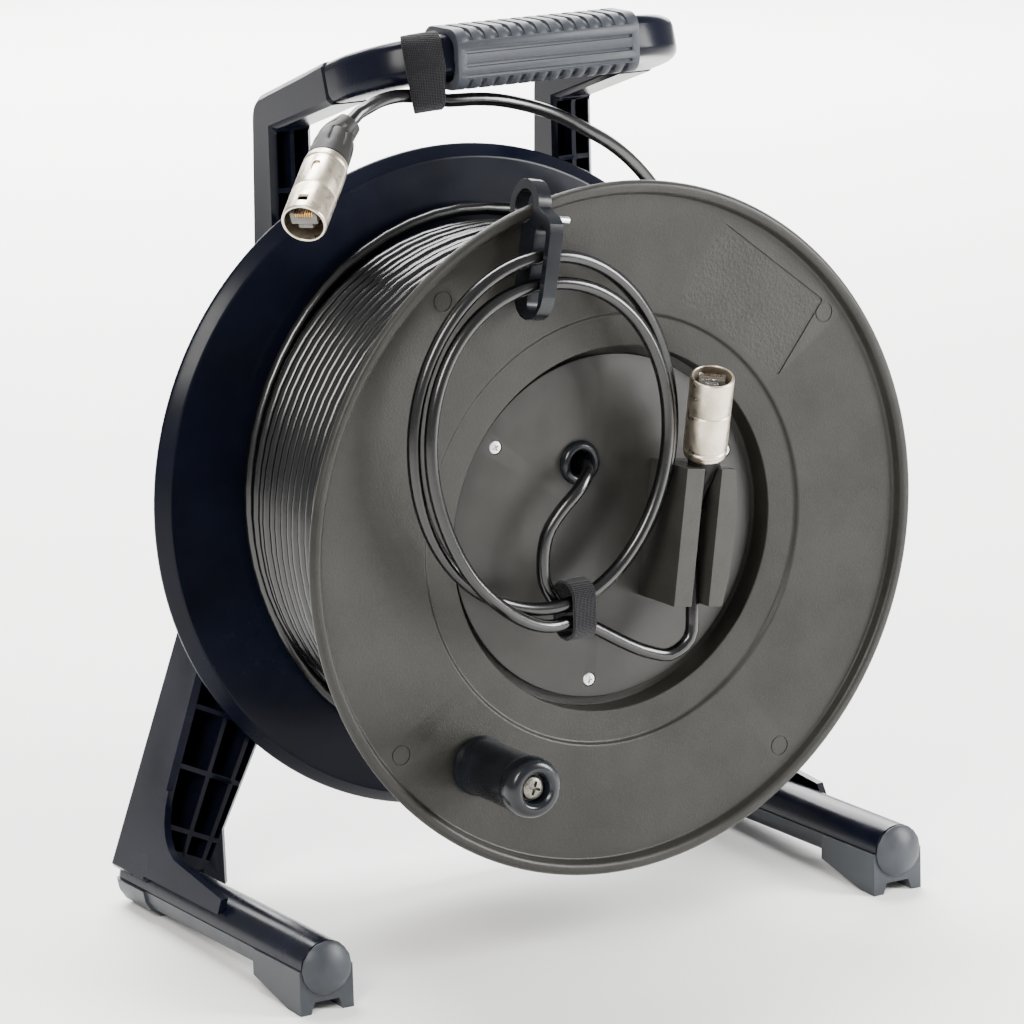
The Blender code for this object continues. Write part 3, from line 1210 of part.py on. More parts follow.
def main():
    """Build the whole reel."""
    clear_scene()
    face_plastic = finish("grained_grey_plastic", "3A3935", 0.55)
    gloss_plastic = finish("gloss_black_plastic", "14161C", 0.25)
    plate_plastic = finish("plate_plastic", "3B3A37", 0.5)
    holder_plastic = finish("holder_plastic", "43423F", 0.5)
    foot_plastic = finish("foot_plastic", "3F444A", 0.5)
    grip_rubber = finish("grip_rubber", "2A2C2F", 0.7)
    boot_rubber = finish("boot_rubber", "16171A", 0.6)
    cable_jacket = finish("cable_jacket", "121316", 0.3)
    textile = finish("strap_textile", "1B1A1D", 0.9)
    steel = finish("bright_steel", "B9BBBD", 0.35, 1.0)
    dark_steel = finish("dark_steel", "6E6D66", 0.45, 1.0)
    nickel = finish("satin_nickel", "B5AC9E", 0.35, 1.0)
    clear = finish("clear_plastic", "B9B6AC", 0.2)
    bronze = finish("bush_plastic", "5A5A58", 0.5)

    tilt_floor = FOOT_Z - SADDLE_DROP
    lift = 12.0 * MM * math.sin(LEAN) - tilt_floor * math.cos(LEAN)
    stand = empty("stand_frame", None, (0.0, ORIGIN_BACK, lift), (-LEAN, 0.0, 0.0))
    drum = empty("drum_axis", stand, (0.0, 0.0, 0.0), (0.0, DRUM_TURN, 0.0))
    knob_x, knob_z = polar(CRANK_PLACE_RADIUS, CRANK_ANGLE)
    knob = empty("knob_axis", drum, (knob_x, 0.0, knob_z))

    build_frame(stand, gloss_plastic)
    build_handle(stand, gloss_plastic, grip_rubber)
    for side, word in ((-1.0, "left"), (1.0, "right")):
        build_foot(side, word, stand, gloss_plastic, foot_plastic)
    build_axle(stand, steel)
    build_drum(drum, face_plastic, gloss_plastic, bronze, gloss_plastic)
    build_plate(drum, plate_plastic, steel, plate_plastic)
    build_holder(drum, holder_plastic)
    build_crank(drum, knob, gloss_plastic, steel, dark_steel)
    build_clip(stand, gloss_plastic, steel)
    build_winding(stand, cable_jacket)
    build_inner_lead(stand, cable_jacket, textile)
    build_outer_lead(stand, cable_jacket, textile)
    build_connectors(stand, drum, nickel, boot_rubber, clear)
    bpy.context.view_layer.update()


if __name__ == "__main__":
    main()
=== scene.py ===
import logging
import math
from dataclasses import dataclass, field
from enum import Enum
from typing import Iterable, Optional, Sequence

import bmesh
import bpy
from mathutils import Matrix, Vector


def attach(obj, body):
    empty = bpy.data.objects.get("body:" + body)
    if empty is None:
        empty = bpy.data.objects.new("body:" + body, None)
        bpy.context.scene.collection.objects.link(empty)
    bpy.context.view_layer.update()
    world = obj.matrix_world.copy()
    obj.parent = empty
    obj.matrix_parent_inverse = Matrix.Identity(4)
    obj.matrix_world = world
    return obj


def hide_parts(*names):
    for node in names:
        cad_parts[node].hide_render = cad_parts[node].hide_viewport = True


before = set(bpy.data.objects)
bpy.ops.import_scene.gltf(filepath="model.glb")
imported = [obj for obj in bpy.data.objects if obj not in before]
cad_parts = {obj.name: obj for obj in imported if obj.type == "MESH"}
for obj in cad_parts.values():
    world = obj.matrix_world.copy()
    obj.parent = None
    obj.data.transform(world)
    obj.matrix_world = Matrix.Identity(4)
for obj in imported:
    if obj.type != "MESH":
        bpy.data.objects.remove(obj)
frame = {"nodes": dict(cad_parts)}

log = logging.getLogger("cable_reel")

MM = 0.001
Pair = tuple[float, float]
Triple = tuple[float, float, float]

# The feet, in millimetres: the front saddles reach lower than the heels, so the stand leans back
FOOT_DEPTH = 173.6
SADDLE_DROP = 19.9
SADDLE_CONTACT = 12.0
HEEL_DROP = 13.2
FOOT_SPAN = 160.0
LEAN = math.atan((SADDLE_DROP - HEEL_DROP) / FOOT_SPAN)
LIFT = SADDLE_CONTACT * MM * math.sin(LEAN) + (FOOT_DEPTH + SADDLE_DROP) * MM * math.cos(LEAN)
ORIGIN_BACK = -70.4

# Frames of the stand and of the drum as it stands in the photograph: millimetres in, metres out
STAND = (
    Matrix.Translation((0.0, ORIGIN_BACK * MM, LIFT))
    @ Matrix.Rotation(-LEAN, 4, "X")
    @ Matrix.Scale(MM, 4)
)
DRUM_TURN = Matrix.Rotation(math.radians(8.0), 4, "Y")
DRUM = STAND @ DRUM_TURN

# Play between two parts that fit into each other, in millimetres
FIT = 0.3

# The handle, in millimetres: two arms slope up to a bar and meet it in round bends
ARM_SLOPE = math.radians(17.3)
ARM_X = 74.25
BAR_Y = 65.5
BAR_Z = 206.6
BOW_BEND = 27.0


class Body(Enum):
    """The rigid bodies that pieces ride on."""

    STAND = "stand"
    DRUM = "drum"
    KNOB = "knob"


class Axis(Enum):
    """The axes that an outline can be extruded along, by their place in a point."""

    X = 0
    Y = 1
    Z = 2


def linear(code: str) -> tuple[float, float, float, float]:
    """Turn an sRGB hex colour into linear RGBA.

    Args:
        code: six hex digits.

    Returns:
        The linear colour with an alpha of one.
    """
    parts = [int(code[i:i + 2], 16) / 255.0 for i in (0, 2, 4)]
    red, green, blue = (c / 12.92 if c <= 0.04045 else ((c + 0.055) / 1.055) ** 2.4 for c in parts)
    return (red, green, blue, 1.0)


def add_node(tree: bpy.types.NodeTree, kind: str, settings: Optional[dict] = None,
             links: Optional[dict] = None) -> bpy.types.Node:
    """Add a node with its settings and links.

    Args:
        tree: the node tree that takes the node.
        kind: the node's type name.
        settings: input names or numbers with their values, or attributes of the node.
        links: input names or numbers with the sockets that feed them.

    Returns:
        The new node.
    """
    node = tree.nodes.new(kind)
    for key, value in (settings or {}).items():
        if key == "stops":
            ramp = node.color_ramp
            while len(ramp.elements) < len(value):
                ramp.elements.new(0.5)
            for element, (place, colour) in zip(ramp.elements, value):
                element.position = place
                element.color = colour
        elif isinstance(key, int) or not hasattr(node, key):
            node.inputs[key].default_value = value
        else:
            setattr(node, key, value)
    for key, source in (links or {}).items():
        tree.links.new(source, node.inputs[key])
    return node


def add_object(name: str, data: bpy.types.ID) -> bpy.types.Object:
    """Put a mesh, a lamp or a camera in the scene as an object."""
    obj = bpy.data.objects.new(name, data)
    bpy.context.collection.objects.link(obj)
    return obj


def per_mm(size: float) -> float:
    """Return the noise scale whose features are this many millimetres wide."""
    return 1.0 / (size * MM)


@dataclass(frozen=True)
class Finish:
    """A plain moulded surface that other finishes build on.

    Attributes:
        name: the material's name.
        slot: the record's material slot; not used here.
        colour: sRGB hex of the surface.
        roughness: typical roughness, set for the mean of the surface.
        shade: sRGB hex that the surface drifts to over its mottling.
        mottle: width of the mottling in millimetres.
        grain: width of the fine relief in millimetres.
        relief: strength of the fine relief.
        depth: height of the fine relief in millimetres.
        spread: how far roughness strays to both sides.
        metallic: 1 for bare metal.
        specular: how strongly the surface mirrors its surroundings; 0.5 is plain plastic.
    """

    name: str
    slot: str
    colour: str
    roughness: float
    shade: str
    mottle: float = 18.0
    grain: float = 0.9
    relief: float = 0.2
    depth: float = 0.2
    spread: float = 0.06
    metallic: float = 0.0
    specular: float = 0.4

    def material(self) -> bpy.types.Material:
        """Return the material, made once."""
        found = bpy.data.materials.get(self.name)
        if found:
            return found
        made = bpy.data.materials.new(self.name)
        made.use_nodes = True
        tree = made.node_tree
        shader = tree.nodes["Principled BSDF"]
        shader.inputs["Metallic"].default_value = self.metallic
        shader.inputs["Specular IOR Level"].default_value = 0.5 if self.metallic else self.specular
        made.diffuse_color = linear(self.colour)
        place = add_node(tree, "ShaderNodeTexCoord").outputs["Object"]
        self.dress(tree, shader, place)
        return made

    def dress(self, tree: bpy.types.NodeTree, shader: bpy.types.Node, place: bpy.types.NodeSocket) -> None:
        """Add colour drift, uneven gloss and fine relief.

        Args:
            tree: the material's tree.
            shader: its Principled shader.
            place: the coordinates that the patterns read.
        """
        drift = add_node(tree, "ShaderNodeTexNoise",
                         {"Scale": per_mm(self.mottle), "Detail": 4.0, "Roughness": 0.6}, {"Vector": place})
        tone = add_node(tree, "ShaderNodeValToRGB",
                        {"stops": [(0.35, linear(self.shade)), (0.62, linear(self.colour))]},
                        {"Fac": drift.outputs["Fac"]})
        tree.links.new(tone.outputs["Color"], shader.inputs["Base Color"])
        gloss = add_node(tree, "ShaderNodeMapRange",
                         {"From Min": 0.3, "From Max": 0.7, "To Min": self.roughness - self.spread,
                          "To Max": self.roughness + self.spread}, {"Value": drift.outputs["Fac"]})
        tree.links.new(gloss.outputs["Result"], shader.inputs["Roughness"])
        fine = add_node(tree, "ShaderNodeTexNoise",
                        {"Scale": per_mm(self.grain), "Detail": 3.0, "Roughness": 0.55}, {"Vector": place})
        self.emboss(tree, shader, fine.outputs["Fac"])

    def emboss(self, tree: bpy.types.NodeTree, shader: bpy.types.Node,
               height: bpy.types.NodeSocket) -> None:
        """Feed a height to the shader's normal."""
        bump = add_node(tree, "ShaderNodeBump", {"Strength": self.relief, "Distance": self.depth * MM},
                        {"Height": height})
        tree.links.new(bump.outputs["Normal"], shader.inputs["Normal"])


@dataclass(frozen=True)
class LeatherGrainPlastic(Finish):
    """Injection-moulded plastic with a leather-like mould grain of many small soft cells.

    Attributes:
        pits: width of a cell in millimetres.
    """

    pits: float = 1.3

    def dress(self, tree: bpy.types.NodeTree, shader: bpy.types.Node, place: bpy.types.NodeSocket) -> None:
        """Add the mould grain over the plain finish."""
        super().dress(tree, shader, place)
        cells = add_node(tree, "ShaderNodeTexVoronoi",
                         {"feature": "SMOOTH_F1", "Scale": per_mm(self.pits), "Smoothness": 0.6,
                          "Randomness": 1.0}, {"Vector": place})
        fine = add_node(tree, "ShaderNodeTexNoise", {"Scale": per_mm(self.grain), "Detail": 2.0},
                        {"Vector": place})
        height = add_node(tree, "ShaderNodeMath", {"operation": "ADD"},
                          {0: cells.outputs["Distance"], 1: fine.outputs["Fac"]})
        self.emboss(tree, shader, height.outputs["Value"])
        speck = add_node(tree, "ShaderNodeTexNoise", {"Scale": per_mm(0.7), "Detail": 1.0}, {"Vector": place})
        lift = add_node(tree, "ShaderNodeValToRGB",
                        {"stops": [(0.38, linear(self.shade)), (0.66, linear(self.colour))]},
                        {"Fac": speck.outputs["Fac"]})
        base = shader.inputs["Base Color"].links[0].from_socket
        blend = add_node(tree, "ShaderNodeMix", {"data_type": "RGBA", 0: 0.45},
                         {6: base, 7: lift.outputs["Color"]})
        tree.links.new(blend.outputs[2], shader.inputs["Base Color"])


@dataclass(frozen=True)
class WovenTextile(Finish):
    """Hook-and-loop band of woven nylon with a soft looped nap.

    Attributes:
        thread: spacing of the threads in millimetres, drawn as coarse as it needs to show.
    """

    thread: float = 0.7

    def dress(self, tree: bpy.types.NodeTree, shader: bpy.types.Node, place: bpy.types.NodeSocket) -> None:
        """Add the weave and the nap."""
        super().dress(tree, shader, place)
        heights = []
        for axis in ("X", "Z"):
            wave = add_node(tree, "ShaderNodeTexWave",
                            {"bands_direction": axis, "Scale": per_mm(self.thread) / 20.0 * math.tau,
                             "Distortion": 1.2, "Detail": 2.0, "Detail Scale": 2.0}, {"Vector": place})
            heights.append(wave.outputs["Fac"])
        both = add_node(tree, "ShaderNodeMath", {"operation": "MULTIPLY"}, {0: heights[0], 1: heights[1]})
        nap = add_node(tree, "ShaderNodeTexNoise", {"Scale": per_mm(0.5), "Detail": 3.0}, {"Vector": place})
        height = add_node(tree, "ShaderNodeMath", {"operation": "ADD"},
                          {0: both.outputs["Value"], 1: nap.outputs["Fac"]})
        self.emboss(tree, shader, height.outputs["Value"])
        shader.inputs["Sheen Weight"].default_value = 0.15
        shader.inputs["Sheen Roughness"].default_value = 0.5


@dataclass(frozen=True)
class CastMetal(Finish):
    """Nickel-plated zinc or zinc-plated steel: a metal with a fine satin tooth and faint handling marks.

    Attributes:
        marks: width of the handling marks in millimetres.
    """

    marks: float = 6.0

    def dress(self, tree: bpy.types.NodeTree, shader: bpy.types.Node, place: bpy.types.NodeSocket) -> None:
        """Add handling marks to the gloss."""
        super().dress(tree, shader, place)
        smear = add_node(tree, "ShaderNodeTexNoise",
                         {"Scale": per_mm(self.marks), "Detail": 6.0, "Distortion": 1.2}, {"Vector": place})
        gloss = add_node(tree, "ShaderNodeMapRange",
                         {"From Min": 0.35, "From Max": 0.65, "To Min": self.roughness - self.spread,
                          "To Max": self.roughness + 1.6 * self.spread}, {"Value": smear.outputs["Fac"]})
        tree.links.new(gloss.outputs["Result"], shader.inputs["Roughness"])


@dataclass(frozen=True)
class SpeckledMetal(CastMetal):
    """Phosphated steel: a grey metal with small light and dark crystals, drawn 0.5 mm wide."""

    def dress(self, tree: bpy.types.NodeTree, shader: bpy.types.Node, place: bpy.types.NodeSocket) -> None:
        """Add the crystals."""
        super().dress(tree, shader, place)
        grit = add_node(tree, "ShaderNodeTexVoronoi", {"Scale": per_mm(0.5)}, {"Vector": place})
        tone = add_node(tree, "ShaderNodeValToRGB",
                        {"stops": [(0.2, linear(self.shade)), (0.55, linear(self.colour))]},
                        {"Fac": grit.outputs["Distance"]})
        tree.links.new(tone.outputs["Color"], shader.inputs["Base Color"])


@dataclass(frozen=True)
class ClearPlastic(Finish):
    """Clear polycarbonate, IOR 1.58: light passes, edges glint."""

    def dress(self, tree: bpy.types.NodeTree, shader: bpy.types.Node, place: bpy.types.NodeSocket) -> None:
        """Make the plain finish clear."""
        super().dress(tree, shader, place)
        shader.inputs["Transmission Weight"].default_value = 0.75
        shader.inputs["IOR"].default_value = 1.58


# Moulded ABS, satin, warm dark grey: the front flange catches light softly over its mould grain
FACE = LeatherGrainPlastic(
    "leather_grained_abs", "face_plastic", "2A2926", 0.4, "201F1C",
    mottle=30.0, grain=0.45, relief=0.42, depth=0.13, spread=0.05, specular=0.25, pits=0.95)
# The sunk label field has a coarser grain, so it looks a little darker and rougher
LABEL = LeatherGrainPlastic(
    "coarse_grained_abs", "face_plastic", "2D2C28", 0.5, "1F1E1B",
    mottle=22.0, grain=0.5, relief=0.8, depth=0.22, spread=0.05, specular=0.22, pits=1.7)
# Moulded polypropylene, glossy blue-black: sharp soft-box reflections with a faint orange peel
GLOSS = Finish(
    "gloss_black_polypropylene", "gloss_plastic", "0B0E1A", 0.24, "080A13",
    mottle=40.0, grain=4.0, relief=0.06, depth=0.3, spread=0.05, specular=0.12)
# Moulded ABS of the knob, clip and grommet, smoother and blacker: broad soft glints
KNOB = Finish(
    "polished_black_abs", "gloss_plastic", "15181D", 0.24, "0C0E11",
    mottle=25.0, grain=3.0, relief=0.05, depth=0.2, spread=0.05, specular=0.35)
# Moulded ABS plate, smooth satin: even grey with hardly any grain
PLATE = Finish(
    "satin_abs_plate", "plate_plastic", "2F2E2C", 0.38, "282725",
    mottle=26.0, grain=0.6, relief=0.12, depth=0.1, spread=0.05, specular=0.3)
# Rubbed ABS of the connector holder, with a light grey bloom on its faces
HOLDER = LeatherGrainPlastic(
    "matt_abs_holder", "holder_plastic", "31302D", 0.5, "262523",
    mottle=16.0, grain=0.5, relief=0.25, depth=0.1, spread=0.05, specular=0.3)
# Soft PVC foot shoes, blue-grey with a fine matt bloom
SHOE = Finish(
    "soft_pvc_shoe", "foot_plastic", "32363B", 0.46, "272A2F",
    mottle=16.0, grain=0.6, relief=0.2, depth=0.14, spread=0.07, specular=0.35)
# Moulded rubber grip, slate grey: dry, with soft edges of light on its ribs
RUBBER = LeatherGrainPlastic(
    "moulded_rubber_grip", "grip_rubber", "32363C", 0.5, "272A30",
    mottle=14.0, grain=0.5, relief=0.3, depth=0.14, spread=0.06, specular=0.35, pits=0.9)
# Moulded rubber boot, dark grey and dry
BOOT = Finish(
    "soft_rubber_boot", "boot_rubber", "1D1C1B", 0.5, "1F1E1D",
    mottle=9.0, grain=0.6, relief=0.2, depth=0.1, spread=0.06, specular=0.25)
# Extruded PVC jacket, black and glossy: white streaks from the lamps run along every strand
JACKET = Finish(
    "extruded_pvc_jacket", "cable_jacket", "060607", 0.22, "030304",
    mottle=30.0, grain=7.0, relief=0.15, depth=0.5, spread=0.04, specular=0.6)
# Woven nylon, black-violet: dull, with a soft light nap
TEXTILE = WovenTextile(
    "woven_nylon_band", "textile", "0C0C13", 0.92, "050509",
    mottle=6.0, grain=0.5, relief=0.9, depth=0.4, spread=0.03, specular=0.15)
# Nickel plate over a cast shell: warm satin silver
NICKEL = CastMetal(
    "satin_nickel_plate", "nickel", "D8CDBB", 0.32, "C6BAA7",
    mottle=8.0, grain=0.5, relief=0.05, depth=0.05, spread=0.06, metallic=1.0)
# Zinc-plated steel: cold bright silver
STEEL = CastMetal(
    "bright_zinc_plate", "steel", "E2E3E4", 0.34, "CBCDCF",
    mottle=6.0, grain=0.5, relief=0.06, depth=0.05, spread=0.06, metallic=1.0)
# Phosphated steel screw: dark grey speckle
GREY_STEEL = SpeckledMetal(
    "phosphated_steel", "steel", "8A877F", 0.42, "33322C",
    mottle=3.0, grain=0.4, relief=0.2, depth=0.1, spread=0.08, metallic=1.0)
# Moulded nylon deep in the connectors, black and dull: swallows light
DARK = Finish(
    "dark_recess_plastic", "gloss_plastic", "040405", 0.6, "030303",
    mottle=9.0, grain=0.8, relief=0.1, depth=0.1, spread=0.05)
# Clear polycarbonate plug: bright edges over what lies behind
CLEAR = ClearPlastic(
    "clear_polycarbonate", "clear_plastic", "A09C94", 0.12, "8E8A82",
    mottle=9.0, grain=0.8, relief=0.05, depth=0.05, spread=0.03)
# Gold flash on the contacts: warm glints
GOLD = CastMetal(
    "gold_flash_contact", "nickel", "D9A04A", 0.25, "C38E3C",
    mottle=4.0, grain=0.5, relief=0.04, depth=0.04, spread=0.05, metallic=1.0)
# Sintered bushes of the hub: dull brown-grey
BUSH = Finish(
    "sintered_bush", "bush_plastic", "5C5A55", 0.5, "4A4844",
    mottle=5.0, grain=0.5, relief=0.2, depth=0.1, spread=0.06)


def polar(radius: float, degrees: float) -> Pair:
    """Return (x, z) at an angle from +X toward +Z."""
    angle = math.radians(degrees)
    return (radius * math.cos(angle), radius * math.sin(angle))


# Where the crank knob and the cable's grommet stand on the drum, as (x, z) in millimetres
CRANK_PLACE = polar(120.0, -120.0)
GROMMET_PLACE = polar(32.7, 120.0)


def ease(share: float) -> float:
    """Return a smooth step between 0 and 1."""
    share = max(0.0, min(1.0, share))
    return share * share * (3.0 - 2.0 * share)


def arc(centre: Pair, radius: float, start: float, end: float, steps: int) -> list[Pair]:
    """Return points of an arc, angles in degrees."""
    turns = [math.radians(start + (end - start) * step / steps) for step in range(steps + 1)]
    x, y = centre
    return [(x + radius * math.cos(turn), y + radius * math.sin(turn)) for turn in turns]


def rounded_box(width: float, height: float, radius: float, steps: int = 5) -> list[Pair]:
    """Return a closed rounded rectangle about its own centre."""
    points: list[Pair] = []
    for index, (across, up) in enumerate(((1, 1), (-1, 1), (-1, -1), (1, -1))):
        corner = (across * (width / 2 - radius), up * (height / 2 - radius))
        points += arc(corner, radius, 90.0 * index, 90.0 * (index + 1), steps)
    return points


def fillet(points: Sequence[Pair], radius: float, steps: int = 3, closed: bool = True) -> list[Pair]:
    """Round the corners of an outline.

    Args:
        points: the outline's corners.
        radius: how far each round reaches along its sides, at most.
        steps: faces in each round.
        closed: whether the last point joins the first.

    Returns:
        The outline with its rounds.
    """
    corners = [Vector(point) for point in points]
    count = len(corners)
    result: list[Pair] = []
    for index, corner in enumerate(corners):
        if not closed and index in (0, count - 1):
            result.append(tuple(corner))
            continue
        before = corners[index - 1]
        after = corners[(index + 1) % count]
        most = 0.45 * min((before - corner).length, (after - corner).length)
        reach = min(radius, most)
        first = corner + (before - corner).normalized() * reach
        last = corner + (after - corner).normalized() * reach
        for step in range(steps + 1):
            share = step / steps
            result.append(tuple(first.lerp(corner, share).lerp(corner.lerp(last, share), share)))
    return result


class Mould:
    """Makes raw meshes in millimetres, in a piece's own frame."""

    def __init__(self) -> None:
        """Start an empty mesh."""
        self.bm = bmesh.new()

    def lathe(self, profile: Sequence[Pair], steps: int, centre: Pair = (0.0, 0.0),
              closed: bool = True) -> "Mould":
        """Turn a profile of (radius, y) round a line along Y.

        Args:
            profile: the profile's points; a radius of zero closes on the axis.
            steps: faces round the turn.
            centre: (x, z) of the axis.
            closed: whether the profile's last point joins its first.

        Returns:
            This mould.
        """
        poles: dict[int, bmesh.types.BMVert] = {}
        rings = []
        for step in range(steps):
            turn = math.tau * step / steps
            ring = []
            for index, (radius, y) in enumerate(profile):
                if radius < 1e-6:
                    if index not in poles:
                        poles[index] = self.bm.verts.new((centre[0], y, centre[1]))
                    ring.append(poles[index])
                else:
                    x, z = centre[0] + radius * math.cos(turn), centre[1] + radius * math.sin(turn)
                    ring.append(self.bm.verts.new((x, y, z)))
            rings.append(ring)
        last = len(profile) if closed else len(profile) - 1
        for step in range(steps):
            here, there = rings[step], rings[(step + 1) % steps]
            for index in range(last):
                after = (index + 1) % len(profile)
                corners = list(dict.fromkeys([here[index], here[after], there[after], there[index]]))
                if len(corners) > 2:
                    self.bm.faces.new(corners)
        return self

    def prism(self, outline: Sequence[Pair], start: float, end: float, axis: Axis = Axis.Y) -> "Mould":
        """Extrude an outline: (x, z) along Y, (y, z) along X, or (x, y) along Z."""
        ends = []
        for depth in (start, end):
            corners = [[a, b] for a, b in outline]
            for corner in corners:
                corner.insert(axis.value, depth)
            ends.append([self.bm.verts.new(corner) for corner in corners])
        self.bm.faces.new(ends[0])
        self.bm.faces.new(list(reversed(ends[1])))
        count = len(outline)
        for index in range(count):
            after = (index + 1) % count
            self.bm.faces.new((ends[0][index], ends[1][index], ends[1][after], ends[0][after]))
        return self

    def box(self, low: Triple, high: Triple) -> "Mould":
        """Add an upright box between two corners."""
        outline = [(low[0], low[2]), (high[0], low[2]), (high[0], high[2]), (low[0], high[2])]
        return self.prism(outline, low[1], high[1])

    def sweep(self, path: Sequence[Vector], sections: Sequence[Sequence[Pair]], up: Triple,
              hollow: Optional[Sequence[Pair]] = None) -> "Mould":
        """Carry sections along a path.

        Args:
            path: the centreline.
            sections: one closed section for each point of the path, all of one count.
            up: the direction that a section's second axis leans to.
            hollow: one section of a bore that runs right through, with as many points.

        Returns:
            This mould.
        """
        rings, bores = [], []
        for index, point in enumerate(path):
            before = path[max(index - 1, 0)]
            after = path[min(index + 1, len(path) - 1)]
            tangent = (after - before).normalized()
            side = tangent.cross(Vector(up)).normalized()
            rise = side.cross(tangent).normalized()
            rings.append([self.bm.verts.new(point + side * u + rise * v) for u, v in sections[index]])
            if hollow:
                bores.append([self.bm.verts.new(point + side * u + rise * v) for u, v in hollow])
        for loops in (rings, bores):
            for here, there in zip(loops, loops[1:]):
                for index in range(len(here)):
                    after = (index + 1) % len(here)
                    self.bm.faces.new((here[index], here[after], there[after], there[index]))
        for end in (0, -1):
            if not hollow:
                self.bm.faces.new(rings[end])
                continue
            outer, inner = rings[end], bores[end]
            for index in range(len(outer)):
                after = (index + 1) % len(outer)
                self.bm.faces.new((outer[index], outer[after], inner[after], inner[index]))
        return self


def smooth_run(points: Sequence[Vector], spacing: float) -> list[Vector]:
    """Return evenly spaced points on a centripetal Catmull-Rom curve through route points.

    Args:
        points: the route.
        spacing: distance between the result's points.

    Returns:
        The points.
    """
    per_span = 24
    route = [Vector(point) for point in points]
    route = [route[0] * 2 - route[1]] + route + [route[-1] * 2 - route[-2]]
    dense = []
    for first, second, third, fourth in zip(route, route[1:], route[2:], route[3:]):
        knots = [0.0]
        for one, two in ((first, second), (second, third), (third, fourth)):
            knots.append(knots[-1] + max((two - one).length, 1e-6) ** 0.5)
        for step in range(per_span):
            t = knots[1] + (knots[2] - knots[1]) * step / per_span
            a1 = first.lerp(second, (t - knots[0]) / (knots[1] - knots[0]))
            a2 = second.lerp(third, (t - knots[1]) / (knots[2] - knots[1]))
            a3 = third.lerp(fourth, (t - knots[2]) / (knots[3] - knots[2]))
            b1 = a1.lerp(a2, (t - knots[0]) / (knots[2] - knots[0]))
            b2 = a2.lerp(a3, (t - knots[1]) / (knots[3] - knots[1]))
            dense.append(b1.lerp(b2, (t - knots[1]) / (knots[2] - knots[1])))
    dense.append(route[-2])
    lengths = [0.0]
    for here, there in zip(dense, dense[1:]):
        lengths.append(lengths[-1] + (there - here).length)
    count = max(2, round(lengths[-1] / spacing))
    result = []
    index = 0
    for step in range(count + 1):
        target = lengths[-1] * step / count
        while index < len(dense) - 2 and lengths[index + 1] < target:
            index += 1
        span = max(lengths[index + 1] - lengths[index], 1e-9)
        result.append(dense[index].lerp(dense[index + 1], (target - lengths[index]) / span))
    return result


class Trees:
    """Geometry Nodes trees for what repeats or follows a path, each made once."""

    @staticmethod
    def start(name: str, inputs: Iterable[tuple[str, str]]) -> tuple[bpy.types.NodeTree, bpy.types.Node]:
        """Start a tree with a geometry input and named inputs.

        Args:
            name: the tree's name.
            inputs: names with socket types.

        Returns:
            The tree and its group input node.
        """
        tree = bpy.data.node_groups.new(name, "GeometryNodeTree")
        tree.interface.new_socket("Geometry", in_out="INPUT", socket_type="NodeSocketGeometry")
        for label, kind in inputs:
            tree.interface.new_socket(label, in_out="INPUT", socket_type=kind)
        tree.interface.new_socket("Geometry", in_out="OUTPUT", socket_type="NodeSocketGeometry")
        return tree, add_node(tree, "NodeGroupInput")

    @staticmethod
    def end(tree: bpy.types.NodeTree, given: bpy.types.Node,
            made: bpy.types.NodeSocket) -> bpy.types.NodeTree:
        """Realize the instances, set the material and close the tree."""
        real = add_node(tree, "GeometryNodeRealizeInstances", None, {"Geometry": made})
        dressed = add_node(tree, "GeometryNodeSetMaterial", None,
                           {"Geometry": real.outputs["Geometry"], "Material": given.outputs["Material"]})
        add_node(tree, "NodeGroupOutput", None, {"Geometry": dressed.outputs["Geometry"]})
        return tree

    @classmethod
    def cable(cls) -> bpy.types.NodeTree:
        """Return the tree that turns a line of points into a round cable."""
        found = bpy.data.node_groups.get("round_cable")
        if found:
            return found
        tree, given = cls.start("round_cable", [("Radius", "NodeSocketFloat"), ("Sides", "NodeSocketInt"),
                                                ("Material", "NodeSocketMaterial")])
        line = add_node(tree, "GeometryNodeMeshToCurve", None, {"Mesh": given.outputs["Geometry"]})
        ring = add_node(tree, "GeometryNodeCurvePrimitiveCircle", None,
                        {"Resolution": given.outputs["Sides"], "Radius": given.outputs["Radius"]})
        tube = add_node(tree, "GeometryNodeCurveToMesh", {"Fill Caps": True},
                        {"Curve": line.outputs["Curve"], "Profile Curve": ring.outputs["Curve"]})
        return cls.end(tree, given, tube.outputs["Mesh"])

    @classmethod
    def row(cls) -> bpy.types.NodeTree:
        """Return the tree that repeats a part along a straight line."""
        found = bpy.data.node_groups.get("straight_row")
        if found:
            return found
        tree, given = cls.start("straight_row", [("Count", "NodeSocketInt"), ("Step", "NodeSocketVector"),
                                                 ("Material", "NodeSocketMaterial")])
        line = add_node(tree, "GeometryNodeMeshLine", None,
                        {"Count": given.outputs["Count"], "Offset": given.outputs["Step"]})
        copies = add_node(tree, "GeometryNodeInstanceOnPoints", None,
                          {"Points": line.outputs["Mesh"], "Instance": given.outputs["Geometry"]})
        return cls.end(tree, given, copies.outputs["Instances"])


